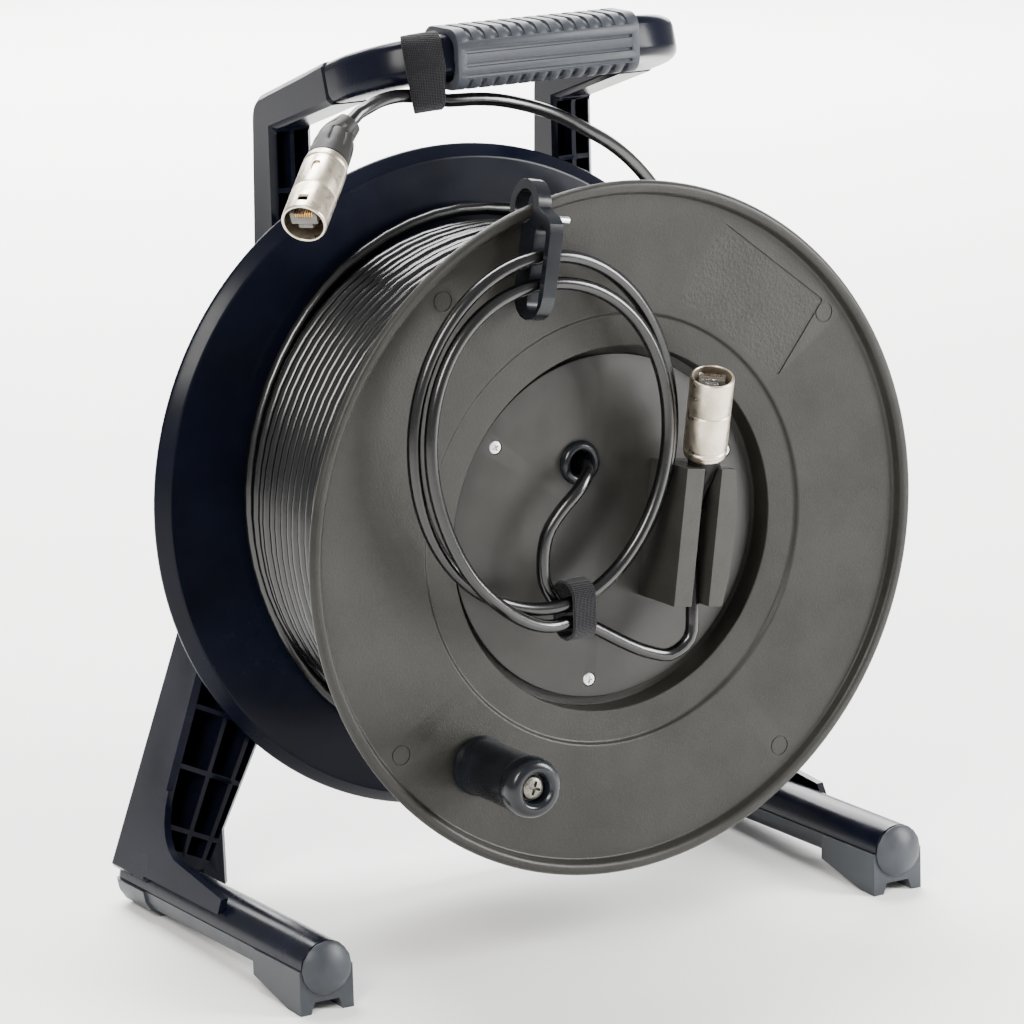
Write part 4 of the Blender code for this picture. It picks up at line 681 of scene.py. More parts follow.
class Workshop:
    """Turns raw meshes into finished pieces on their bodies."""

    def raw(self, name: str, mould: Mould) -> bpy.types.Object:
        """Turn a mould into an object in its own frame, closed and facing outward."""
        bmesh.ops.remove_doubles(mould.bm, verts=mould.bm.verts, dist=0.001)
        bmesh.ops.recalc_face_normals(mould.bm, faces=mould.bm.faces)
        mesh = bpy.data.meshes.new(name)
        mould.bm.to_mesh(mesh)
        mould.bm.free()
        return add_object(name, mesh)

    def bake(self, obj: bpy.types.Object) -> None:
        """Apply an object's modifiers to its mesh."""
        bpy.context.view_layer.update()
        shape = obj.evaluated_get(bpy.context.evaluated_depsgraph_get())
        mesh = bpy.data.meshes.new_from_object(shape)
        obj.modifiers.clear()
        obj.data = mesh

    def row(self, name: str, mould: Mould, count: int, step: Triple, finish: Finish) -> bpy.types.Object:
        """Return an object of one mould repeated along a straight line."""
        obj = self.raw(name, mould)
        self.grow(obj, Trees.row(), finish, Count=count, Step=step)
        return obj

    def cut(self, obj: bpy.types.Object, tools: Sequence["Mould | bpy.types.Object"]) -> None:
        """Cut tools out of an object, one after the other.

        Args:
            obj: the piece.
            tools: raw moulds or objects in the piece's own frame; they are used up.
        """
        hidden = [self.raw("tool", tool) if isinstance(tool, Mould) else tool for tool in tools]
        for tool in hidden:
            change = obj.modifiers.new("cut", "BOOLEAN")
            change.operation, change.solver, change.object = "DIFFERENCE", "EXACT", tool
        self.bake(obj)
        for tool in hidden:
            bpy.data.objects.remove(tool, do_unlink=True)

    def soften(self, obj: bpy.types.Object, width: float, angle: float = 30.0,
               weighted: bool = False) -> None:
        """Round the sharp edges, with two faces across each round.

        Args:
            obj: the piece.
            width: width of the rounds in the object's own units.
            angle: edges sharper than this, in degrees, are rounded.
            weighted: whether large faces keep flat shading right up to their rounds.
        """
        change = obj.modifiers.new("rounds", "BEVEL")
        change.width, change.segments, change.limit_method = width, 2, "ANGLE"
        change.angle_limit, change.miter_outer = math.radians(angle), "MITER_ARC"
        change.use_clamp_overlap = True
        if weighted:
            obj.data.shade_smooth()
            change.harden_normals = True
            even = obj.modifiers.new("even", "WEIGHTED_NORMAL")
            even.keep_sharp, even.weight = True, 80
        self.bake(obj)

    def grow(self, obj: bpy.types.Object, tree: bpy.types.NodeTree, finish: Finish,
             **inputs: object) -> None:
        """Run a Geometry Nodes tree on an object and keep the plain mesh.

        Args:
            obj: the piece whose mesh feeds the tree.
            tree: the tree.
            finish: the finish that the tree sets.
            **inputs: values for the tree's named inputs.
        """
        change = obj.modifiers.new("grow", "NODES")
        change.node_group = tree
        values = {**inputs, "Material": finish.material()}
        for socket in tree.interface.items_tree:
            if socket.in_out == "INPUT" and socket.name in values:
                change[socket.identifier] = values[socket.name]
        self.bake(obj)

    def finish(self, obj: bpy.types.Object, place: Matrix, finish: Finish, body: Body,
               replaces: Sequence[str] = (), angle: float = 32.0) -> bpy.types.Object:
        """Put a piece in its place, dress it and let it ride.

        Args:
            obj: the piece in its own frame.
            place: its frame in the row frame.
            finish: its finish, unless its faces carry one already.
            body: the body that it rides on.
            replaces: the CAD nodes that it stands for.
            angle: edges sharper than this, in degrees, stay sharp.

        Returns:
            The piece.
        """
        obj.data.transform(place)
        if not obj.data.materials or obj.data.materials[0] is None:
            obj.data.materials.clear()
            obj.data.materials.append(finish.material())
        obj.data.shade_smooth()
        obj.data.set_sharp_from_angle(angle=math.radians(angle))
        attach(obj, body.value)
        if replaces:
            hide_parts(*replaces)
        log.info("%s: %d faces on %s", obj.name, len(obj.data.polygons), body.value)
        return obj

    def refine(self, node: str, finish: Finish, body: Body, width: float,
               angle: float = 30.0) -> bpy.types.Object:
        """Stand a copy of a CAD node in for it, with its edges rounded.

        Args:
            node: the CAD node.
            finish: its finish.
            body: its body.
            width: width of the rounds in millimetres.
            angle: edges sharper than this, in degrees, are rounded.

        Returns:
            The piece.
        """
        work = bmesh.new()
        work.from_mesh(frame["nodes"][node].data)
        bmesh.ops.remove_doubles(work, verts=work.verts, dist=0.01 * MM)
        bmesh.ops.dissolve_limit(work, angle_limit=math.radians(0.6), verts=work.verts, edges=work.edges)
        bmesh.ops.triangulate(work, faces=[face for face in work.faces if len(face.verts) > 4])
        mesh = bpy.data.meshes.new(node + "_fine")
        work.to_mesh(mesh)
        work.free()
        obj = add_object(node + "_fine", mesh)
        self.soften(obj, width * MM, angle, True)
        return self.finish(obj, Matrix.Identity(4), finish, body, [node], 180.0)

    def dress_node(self, node: str, finish: Finish) -> None:
        """Give a carried-over CAD node its finish."""
        carried = frame["nodes"][node]
        for slot in carried.material_slots:
            slot.material = finish.material()
        if not carried.material_slots:
            carried.data.materials.append(finish.material())


@dataclass
class Studio:
    """The camera, floor and lights.

    Attributes:
        azimuth: the photograph's angle round the object, in degrees.
        elevation: its angle above the floor.
        distance: from the drum's front centre to the camera, in metres.
        image: side of the photograph in pixels.
        focal: focal length in the same pixels.
        centre: pixel where the drum's front centre appears.
        sensor: width of the camera's sensor in millimetres.
        floor_reach: how far the floor goes from its middle, in metres.
        room: strength of the even light of the room.
        target: what the soft boxes round the object face.
    """

    azimuth: float = -32.17
    elevation: float = 14.88
    distance: float = 2.204
    image: float = 1024.0
    focal: float = 5023.0
    centre: Pair = (622.0, 532.0)
    sensor: float = 36.0
    floor_reach: float = 6.0
    room: float = 0.62
    target: Triple = (0.0, 0.0, 0.2)

    def camera(self) -> None:
        """Add the camera at the photograph's place, aimed at the middle of its frame."""
        turn, tilt = math.radians(self.azimuth), math.radians(self.elevation)
        back = Vector((math.sin(turn) * math.cos(tilt), -math.cos(turn) * math.cos(tilt), math.sin(tilt)))
        right = (-back).cross(Vector((0.0, 0.0, 1.0))).normalized()
        rise = right.cross(-back)
        middle = self.image / 2
        aim = -back * self.focal + right * (middle - self.centre[0]) - rise * (middle - self.centre[1])
        look = (-back).rotation_difference(aim.normalized()).to_matrix()
        axes = look @ Matrix((right, rise, back)).transposed()
        data = bpy.data.cameras.new("photo_camera")
        data.sensor_width = self.sensor
        data.lens = self.focal / self.image * self.sensor
        data.clip_end = 20.0
        obj = add_object("photo_camera", data)
        obj.matrix_world = Matrix.Translation(STAND.translation + back * self.distance) @ axes.to_4x4()
        bpy.context.scene.camera = obj

    def light(self, name: str, place: Triple, aim: Triple, size: Pair, power: float,
              colour: str = "FFFFFF") -> None:
        """Add a soft box that faces a point.

        Args:
            name: the lamp's name.
            place: its middle, in metres.
            aim: the point that it faces.
            size: its width and height in metres.
            power: its power in watts.
            colour: sRGB hex of its light.
        """
        data = bpy.data.lights.new(name, "AREA")
        data.shape, data.size, data.size_y = "RECTANGLE", size[0], size[1]
        data.energy, data.color = power, linear(colour)[:3]
        obj = add_object(name, data)
        obj.location = place
        obj.rotation_euler = (Vector(place) - Vector(aim)).to_track_quat("Z", "Y").to_euler()

    def floor(self) -> None:
        """Add the pale floor, which isn't part of the object."""
        reach = self.floor_reach
        mould = Mould().box((-reach, -reach, -0.02), (reach, reach, 0.0))
        bmesh.ops.recalc_face_normals(mould.bm, faces=mould.bm.faces)
        mesh = bpy.data.meshes.new("floor")
        mould.bm.to_mesh(mesh)
        mould.bm.free()
        paper = Finish("pale_paper", "plate_plastic", "F7F6F4", 0.7, "F4F3F1",
                       mottle=300.0, grain=2.0, relief=0.02, depth=0.1, spread=0.03)
        mesh.materials.append(paper.material())
        add_object("floor", mesh)

    def build(self) -> None:
        """Add the floor, the world and the lights."""
        world = bpy.data.worlds.new("pale_room")
        world.use_nodes = True
        background = world.node_tree.nodes["Background"]
        background.inputs["Color"].default_value = linear("FFFFFF")
        background.inputs["Strength"].default_value = self.room
        bpy.context.scene.world = world
        self.floor()
        self.light("key_left", (-1.6, -1.3, 1.5), self.target, (0.7, 1.0), 58.0, "FFFDF8")
        self.light("fill_right", (0.9, -0.8, 0.6), self.target, (0.4, 0.7), 34.0)
        self.light("back_panel", (1.35, 2.2, 0.98), self.target, (2.6, 0.9), 70.0)
        self.light("top_back", (0.1, 0.7, 1.9), self.target, (1.2, 0.7), 70.0)
        self.light("floor_wash", (1.2, 2.6, 1.8), (1.2, 2.9, 0.0), (3.0, 2.0), 330.0)


@dataclass
class Cable:
    """The network cable: its wound layers, its inner lead and its outer lead.

    Attributes:
        radius: half the jacket's diameter.
        start: y of the first turn, next to the front flange.
        pitch: step from turn to turn in the outer layer.
        inner_pitch: step in the layers below it.
        turns: turns in the outer layer.
        flat_radius: centreline radius of the outer layer.
        flat_end: y where the outer layer starts to fall off.
        end_radius: centreline radius at the outer layer's end.
        end_angle: angle at which the wound cable ends and the loose turn starts.
        fall: how late the outer layer falls off; 1 is a straight slope.
        layer_step: distance from layer to layer.
        climb: part of a turn in which a layer climbs onto the next.
        loose_turns: length of the loose turn before it leaves the drum, in turns.
        loose_shape: its course as rows of angle, radius and y.
        fine: points for each turn.
        sides: faces round the jacket.
        least_radius: centreline radius of a turn on the barrel.
        unevenness: how far a wound turn strays from its radius.
        sway: how far it strays along the drum.
        crown: how much higher the last turns lie at one side of the drum.
        crown_angle: angle of that side.
        lower_layers: number, rear end and direction of each layer below.
    """

    radius: float = 3.0
    start: float = 14.6
    pitch: float = 6.62
    inner_pitch: float = 6.2
    turns: int = 17
    flat_radius: float = 120.0
    flat_end: float = 60.0
    end_radius: float = 113.0
    end_angle: float = -96.0
    fall: float = 1.15
    layer_step: float = 6.1
    climb: float = 0.35
    loose_turns: float = 1.25
    loose_shape: tuple[Triple, ...] = (
        (-96.0, 113.0, 134.4), (-50.0, 115.0, 134.4), (0.0, 120.5, 134.4), (50.0, 125.6, 134.4),
        (88.0, 126.4, 134.4), (116.0, 122.6, 134.4), (143.0, 116.8, 134.4), (170.0, 113.4, 134.4),
        (203.0, 113.2, 134.4), (232.0, 118.5, 134.0), (262.0, 125.5, 130.5), (295.0, 129.6, 123.5),
        (325.0, 130.3, 119.0), (354.0, 130.3, 118.0))
    fine: int = 60
    sides: int = 14
    least_radius: float = 95.4
    unevenness: float = 0.8
    sway: float = 0.22
    crown: float = 7.0
    crown_angle: float = 95.0
    lower_layers: tuple[tuple[int, float, bool], ...] = (
        (3, 96.0, False), (2, 136.0, True), (1, 136.0, False))

    @property
    def last_y(self) -> float:
        """Return the outer layer's end along the drum."""
        return self.start + self.turns * self.pitch

    def outer_radius(self, y: float) -> float:
        """Return the outer layer's centreline radius at a place along the drum."""
        if y <= self.flat_end:
            return self.flat_radius
        share = min(1.0, (y - self.flat_end) / (self.last_y - self.flat_end))
        return self.flat_radius + (self.end_radius - self.flat_radius) * share ** self.fall

    def layer_radius(self, layer: int, y: float) -> float:
        """Return a layer's centreline radius, the outer layer's being number 0."""
        return max(self.outer_radius(y) - layer * self.layer_step, self.least_radius)

    def stray(self, turn: float, y: float) -> Pair:
        """Return how far a visible turn rises and how far it shifts along the drum.

        Args:
            turn: angle along the cable in radians, counted over all its turns.
            y: place along the drum.

        Returns:
            The rise and the shift, from waves whose lengths share no multiple, so no turn repeats another.
        """
        rise = self.unevenness * (0.5 + 0.5 * math.sin(turn * 0.43 + 1.7)) * math.sin(turn * 1.31) ** 2
        share = max(0.0, (y - self.flat_end) / (self.last_y - self.flat_end))
        off = (math.degrees(turn) - self.crown_angle + 180.0) % 360.0 - 180.0
        rise += self.crown * share * max(0.0, math.cos(math.radians(off * 1.1))) ** 2
        return rise, self.sway * math.sin(turn * 0.57) * math.sin(turn * 2.3)

    def wound(self) -> list[Vector]:
        """Return the wound length from the barrel out: three layers and the one that shows.

        Returns:
            The centreline in the stand's frame.
        """
        stations: list[Pair] = []
        for layer, rear, forward in self.lower_layers:
            count = (rear - self.start) / self.inner_pitch
            steps = round(count * self.fine)
            for step in range(steps):
                share = step / steps
                y = self.start + (rear - self.start) * (share if forward else 1.0 - share)
                climb = ease((share * count - (count - self.climb)) / self.climb)
                low, high = self.layer_radius(layer, y), self.layer_radius(layer - 1, y)
                stations.append((low + (high - low) * climb, y))
        for step in range(self.turns * self.fine + 1):
            y = self.start + self.pitch * step / self.fine
            stations.append((self.outer_radius(y), y))
        last = len(stations) - 1
        points = []
        for index, (radius, y) in enumerate(stations):
            turn = math.radians(self.end_angle) - math.tau * (last - index) / self.fine
            seen = last - index < self.turns * self.fine
            rise, shift = self.stray(turn, y) if seen else (0.0, 0.0)
            reach = radius + rise
            points.append(Vector((reach * math.cos(turn), y + shift, reach * math.sin(turn))))
        return points

    def loose_measure(self, degrees: float, column: int) -> float:
        """Return one measure of the loose turn, on a smooth curve through its table.

        Args:
            degrees: angle round the drum.
            column: 1 for the radius, 2 for y.

        Returns:
            The measure in millimetres.
        """
        rows = self.loose_shape
        slopes = []
        for before, after in zip((rows[0], *rows[:-1]), (*rows[1:], rows[-1])):
            slopes.append((after[column] - before[column]) / (after[0] - before[0]))
        index = 0
        while index < len(rows) - 2 and degrees > rows[index + 1][0]:
            index += 1
        span = rows[index + 1][0] - rows[index][0]
        t = (degrees - rows[index][0]) / span
        low, high = rows[index][column], rows[index + 1][column]
        value = low * (2 * t ** 3 - 3 * t ** 2 + 1) + high * (3 * t ** 2 - 2 * t ** 3)
        bend = slopes[index] * (t ** 3 - 2 * t ** 2 + t) + slopes[index + 1] * (t ** 3 - t ** 2)
        return value + span * bend

    def loose(self) -> list[Vector]:
        """Return the loose last turn, which runs on as the outer lead."""
        points = []
        for index in range(round(self.loose_turns * self.fine) + 1):
            degrees = self.end_angle + 360.0 * index / self.fine
            x, z = polar(self.loose_measure(degrees, 1), degrees)
            points.append(Vector((x, self.loose_measure(degrees, 2), z)))
        return points

    def tube(self, shop: Workshop, name: str, points: Sequence[Vector], body: Body,
             replaces: Sequence[str]) -> tuple[bpy.types.Object, list[Vector]]:
        """Make one stretch of cable.

        Args:
            shop: the workshop.
            name: the piece's name.
            points: its centreline in the stand's frame.
            body: the body that it rides on.
            replaces: the CAD nodes that it stands for.

        Returns:
            The piece and its centreline in the row frame.
        """
        mesh = bpy.data.meshes.new(name)
        mesh.from_pydata([tuple(p) for p in points], [(i, i + 1) for i in range(len(points) - 1)], [])
        obj = add_object(name, mesh)
        shop.grow(obj, Trees.cable(), JACKET, Radius=self.radius, Sides=self.sides)
        shop.finish(obj, STAND, JACKET, body, replaces, 60.0)
        return obj, [STAND @ point for point in points]


# Where the two connectors lie, in millimetres: middle of the shell's back and of its mouth, and the boots
INNER_BACK = Vector((35.2, -6.0, 35.6))
INNER_MOUTH = Vector((26.0, -20.0, 72.3))
INNER_BOOT = [Vector(p) for p in (
    (35.27, -5.9, 35.33), (36.18, -4.51, 31.69), (36.2, -3.1, 27.2), (35.5, -1.7, 22.2), (34.9, -0.7, 17.2),
    (34.9, -0.1, 12.6))]
OUTER_BACK = Vector((-123.2, 32.2, 171.7))
OUTER_MOUTH = Vector((-148.3, 8.0, 151.9))
OUTER_BOOT_END = Vector((-100.4, 43.7, 188.7))
BOOT_LENGTH = 23.0


def outer_boot_line() -> list[Vector]:
    """Return the outer boot's centreline, straight out of the shell and pulled aside at its thin end."""
    along = (OUTER_BACK - OUTER_MOUTH).normalized()
    shares = (0.0, 0.18, 0.36, 0.56, 0.78, 1.0)
    line = [OUTER_BACK + along * (FIT + share * BOOT_LENGTH) for share in shares]
    line[-1] = line[-1].lerp(OUTER_BOOT_END, 0.5)
    return line


@dataclass
class Leads:
    """The two free ends of the cable, with the routes that the CAD solids follow.

    Attributes:
        cable: the cable that they belong to.
        loop_centre: (x, z) of the middle of the inner loops.
        tie_turn: angle of the tie round that middle, in degrees.
        loop_shape: the two loops as rows of turns from the tie, half width, half height and y.
        way_in: the inner lead from the grommet to the tie.
        way_out: the inner lead from the tie to its boot.
        outer_route: the outer lead from the drum to its boot, under the strap.
        spacing: distance between the inner lead's points.
        outer_spacing: distance between the outer lead's points.
    """

    cable: Cable
    loop_centre: Pair = (-42.8, 50.0)
    tie_turn: float = -77.7
    loop_shape: tuple[tuple[float, float, float, float], ...] = (
        (0.0, 66.1, 80.9, -2.2), (0.22, 66.1, 79.5, -6.0), (0.47, 66.1, 78.7, -11.4),
        (0.72, 66.1, 77.5, -9.4), (0.86, 65.5, 76.0, -6.4), (1.0, 63.5, 76.56, -8.8),
        (1.22, 61.0, 70.0, -11.0), (1.47, 60.6, 67.0, -11.8), (1.72, 60.4, 71.0, -14.2),
        (1.86, 60.4, 79.0, -15.2), (2.0, 60.4, 85.15, -8.8))
    way_in: tuple[Triple, ...] = (
        (-12.3, 27.0, 30.3), (-12.3, 19.0, 30.3), (-12.4, 11.0, 30.2), (-14.4, 4.0, 28.6),
        (-20.5, -0.4, 23.5), (-29.5, -0.6, 15.5), (-37.0, 0.8, 5.6), (-39.8, 1.6, -8.7),
        (-38.6, 1.4, -19.5), (-34.4, -0.8, -27.6))
    way_out: tuple[Triple, ...] = (
        (-15.9, -7.4, -41.2), (5.0, -6.2, -52.7), (19.0, -6.4, -57.0), (27.8, -7.2, -53.4),
        (30.6, -7.6, -45.0), (31.4, -6.6, -33.0), (33.6, -3.2, -12.0))
    outer_route: tuple[Triple, ...] = (
        (129.6, 117.4, 22.0), (126.4, 115.0, 60.0), (116.6, 111.0, 86.0), (101.0, 106.0, 110.0),
        (79.0, 97.0, 136.0), (54.0, 84.0, 155.0), (31.0, 75.0, 167.4), (8.0, 69.0, 178.0),
        (-17.0, 65.4, 185.4), (-34.0, 64.4, 187.6), (-44.0, 64.2, 187.9), (-54.0, 65.8, 190.1),
        (-65.0, 64.0, 192.0), (-75.4, 58.2, 193.0), (-86.7, 51.8, 192.6))
    spacing: float = 4.0
    outer_spacing: float = 6.0

    def loop_point(self, turn: float) -> Vector:
        """Return the inner loops' centreline at a count of turns from the tie."""
        low = high = self.loop_shape[0]
        for low, high in zip(self.loop_shape, self.loop_shape[1:]):
            if turn <= high[0]:
                break
        share = ease((turn - low[0]) / (high[0] - low[0]))
        wide, tall, y = (low[i] + (high[i] - low[i]) * share for i in (1, 2, 3))
        angle = math.radians(self.tie_turn) + math.tau * turn
        x, z = self.loop_centre
        return Vector((x + wide * math.cos(angle), y, z + tall * math.sin(angle)))

    def inner(self) -> list[Vector]:
        """Return the inner lead: out of the grommet, twice round, through the tie and up the holder."""
        down = (INNER_BOOT[-1] - INNER_BOOT[-2]).normalized()
        ends = [DRUM_TURN @ (INNER_BOOT[-1] + down * (FIT + step)) for step in (9.0, 4.0, 0.0)]
        start = smooth_run([Vector(p) for p in self.way_in] + [self.loop_point(0.0)], self.spacing)
        per_loop = 120
        loops = [self.loop_point(index / per_loop) for index in range(2 * per_loop + 1)]
        out = smooth_run([loops[-1]] + [Vector(p) for p in self.way_out] + ends, self.spacing)
        line = start[:-1] + loops + out[1:]
        return smooth_run(line[::3] + [line[-1]], self.spacing)

    def outer(self) -> list[Vector]:
        """Return the outer lead: the loose last turn, then up to the bar and into its boot."""
        *_, before, tip = outer_boot_line()
        heading = (tip - before).normalized()
        loose = self.cable.loose()
        leave = (loose[-1] - loose[-2]).normalized()
        route = [loose[-1], loose[-1] + leave * 6.0] + [Vector(p) for p in self.outer_route]
        route.append(tip + heading * (6.0 + FIT))
        return loose[:-1] + smooth_run(route, self.outer_spacing) + [tip + heading * FIT]


def connector_place(back: Vector, mouth: Vector) -> Matrix:
    """Return the frame of a connector: origin at the shell's back, +Y away from the mouth."""
    y_axis = (back - mouth).normalized()
    side = Vector((0.0, 0.0, 1.0)).cross(y_axis).normalized()
    rise = y_axis.cross(side).normalized()
    side = y_axis.cross(rise)
    matrix = Matrix((side, y_axis, rise)).transposed().to_4x4()
    matrix.translation = back
    return matrix


@dataclass
class Connector:
    """One metal-shelled network connector with its clear plug and rubber boot.

    Attributes:
        prefix: start of the names of its pieces and nodes.
        body: the body that it rides on.
        frame: its body's frame.
        back: middle of the shell's rear face.
        mouth: middle of its mouth.
        boot_line: the boot's centreline.
        radius: the shell's outside radius.
        length: its length.
        bore: radius inside its mouth.
        mouth_depth: how far the mouth is open.
        contact_count: contacts in the plug.
        contact_step: distance from one to the next.
        boot_radii: the boot's radii, evenly spread along it.
        boot_sides: half the number of faces round the boot.
        boot_flats: moulded flats round the boot.
        pieces: the finished pieces.
    """

    prefix: str
    body: Body
    frame: Matrix
    back: Vector
    mouth: Vector
    boot_line: list[Vector]
    radius: float = 9.8
    length: float = 40.5
    bore: float = 8.5
    mouth_depth: float = 22.0
    contact_count: int = 8
    contact_step: float = 1.02
    boot_radii: tuple[float, ...] = (7.4, 7.0, 6.4, 5.8, 5.3, 4.8)
    boot_sides: int = 32
    boot_flats: int = 8
    pieces: list[bpy.types.Object] = field(default_factory=list)

    def build(self, shop: Workshop) -> list[bpy.types.Object]:
        """Add the shell, its ring lines and window, the plug with its contacts, and the boot."""
        place = self.frame @ connector_place(self.back, self.mouth)
        self.shell(shop, place)
        self.plug(shop, place)
        self.boot(shop)
        return self.pieces

    def shell(self, shop: Workshop, place: Matrix) -> None:
        """Add the turned shell: a fine ring line at mid-length, a stepped rear end and a small window."""
        mouth, r = -self.length, self.radius
        floor = mouth + self.mouth_depth
        outside = [
            (5.7, 0.0), (r - 0.9, 0.0), (r - 0.35, -0.9), (r - 0.35, -2.4), (r - 0.05, -2.7),
            (r - 0.05, -4.0), (r - 0.35, -4.3), (r - 0.35, -5.2), (r, -5.5), (r, mouth + 17.6),
            (r - 0.28, mouth + 17.4), (r - 0.28, mouth + 17.0), (r, mouth + 16.8), (r, mouth + 0.7),
            (r - 0.2, mouth + 0.2), (r - 0.5, mouth), (self.bore + 0.2, mouth), (self.bore, mouth + 0.3),
            (self.bore, floor), (7.2, floor), (7.2, -6.0), (5.7, -6.0)]
        obj = shop.raw(self.prefix + "_shell_fine", Mould().lathe(fillet(outside, 0.25, 2), 72))
        window = Mould().box((-2.2, mouth + 4.0, 4.0), (2.2, mouth + 8.0, 12.0))
        latch = Mould().prism(rounded_box(3.4, 7.0, 1.6), 8.9, 12.0, Axis.Z)
        bmesh.ops.translate(latch.bm, vec=(0.0, -13.0, 0.0), verts=latch.bm.verts)
        shop.cut(obj, [window, latch])
        self.pieces.append(shop.finish(obj, place, NICKEL, self.body, [self.prefix + "_shell"], 28.0))

    def plug(self, shop: Workshop, place: Matrix) -> None:
        """Add the clear plug with its latch, its eight contacts and the dark carrier round it."""
        front = 1.4 - self.length
        first = -(self.contact_count - 1) / 2 * self.contact_step
        body = shop.raw(self.prefix + "_plug_fine", Mould().box((-5.8, front, -1.2), (5.8, -8.0, 4.4)))
        slots = []
        for number in range(self.contact_count):
            x = first + number * self.contact_step
            slots.append(Mould().box((x - 0.32, front - 1.0, 2.2), (x + 0.32, front + 7.5, 5.4)))
        shop.cut(body, slots)
        shop.soften(body, 0.2)
        self.pieces.append(shop.finish(body, place, CLEAR, self.body, [self.prefix + "_plug"]))
        side = fillet([(front + 0.5, -1.5), (front + 0.5, -3.6), (front + 1.4, -4.4), (front + 11.0, -5.2),
                       (front + 11.0, -4.2), (front + 3.0, -1.5)], 0.3)
        tab = shop.raw(self.prefix + "_plug_latch", Mould().prism(side, -3.0, 3.0, Axis.X))
        self.pieces.append(shop.finish(tab, place, CLEAR, self.body))
        pin = Mould().box((first - 0.2, front + 0.3, 1.9), (first + 0.2, front + 6.5, 3.9))
        step = (self.contact_step, 0.0, 0.0)
        pins = shop.row(self.prefix + "_contacts", pin, self.contact_count, step, GOLD)
        self.pieces.append(shop.finish(pins, place, GOLD, self.body))
        face = self.mouth_depth - 1.0 - self.length
        edge = fillet([(0.0, face), (8.2, face), (8.2, face + 0.8), (0.0, face + 0.8)], 0.1, 1, False)
        disc = shop.raw(self.prefix + "_carrier", Mould().lathe(edge, 40, closed=False))
        self.pieces.append(shop.finish(disc, place, DARK, self.body))

    def boot_section(self, radius: float, share: float) -> list[Pair]:
        """Return the boot's section: a round collar that turns into flats with grooves between them.

        Args:
            radius: the section's radius.
            share: place along the boot, 0 at the shell.

        Returns:
            The closed section.
        """
        groove_depth, groove_share, flattening = 0.5, 0.22, 0.035
        points = []
        flat = ease((share - 0.12) / 0.15) * (1.0 - ease((share - 0.75) / 0.25))
        for index in range(self.boot_sides * 2):
            turn = math.tau * index / (self.boot_sides * 2)
            wave = abs(math.cos(turn * self.boot_flats / 2.0))
            groove = groove_depth * max(0.0, 1.0 - wave / groove_share)
            reach = radius * (1.0 - flattening * flat * (1.0 - wave)) - flat * groove
            points.append((reach * math.cos(turn), reach * math.sin(turn)))
        return points

    def boot(self, shop: Workshop) -> None:
        """Add the tapering boot with its moulded flats."""
        line = smooth_run(self.boot_line, 0.8)
        radii = self.boot_radii
        sections = []
        for index in range(len(line)):
            share = index / (len(line) - 1)
            spot = share * (len(radii) - 1)
            low = min(int(spot), len(radii) - 2)
            radius = radii[low] + (radii[low + 1] - radii[low]) * (spot - low)
            sections.append(self.boot_section(radius, share))
        hollow = arc((0.0, 0.0), 3.4, 0.0, 360.0, len(sections[0]))[:-1]
        obj = shop.raw(self.prefix + "_boot_fine", Mould().sweep(line, sections, (1.0, 0.0, 0.0), hollow))
        self.pieces.append(shop.finish(obj, self.frame, BOOT, self.body, [self.prefix + "_boot"], 50.0))


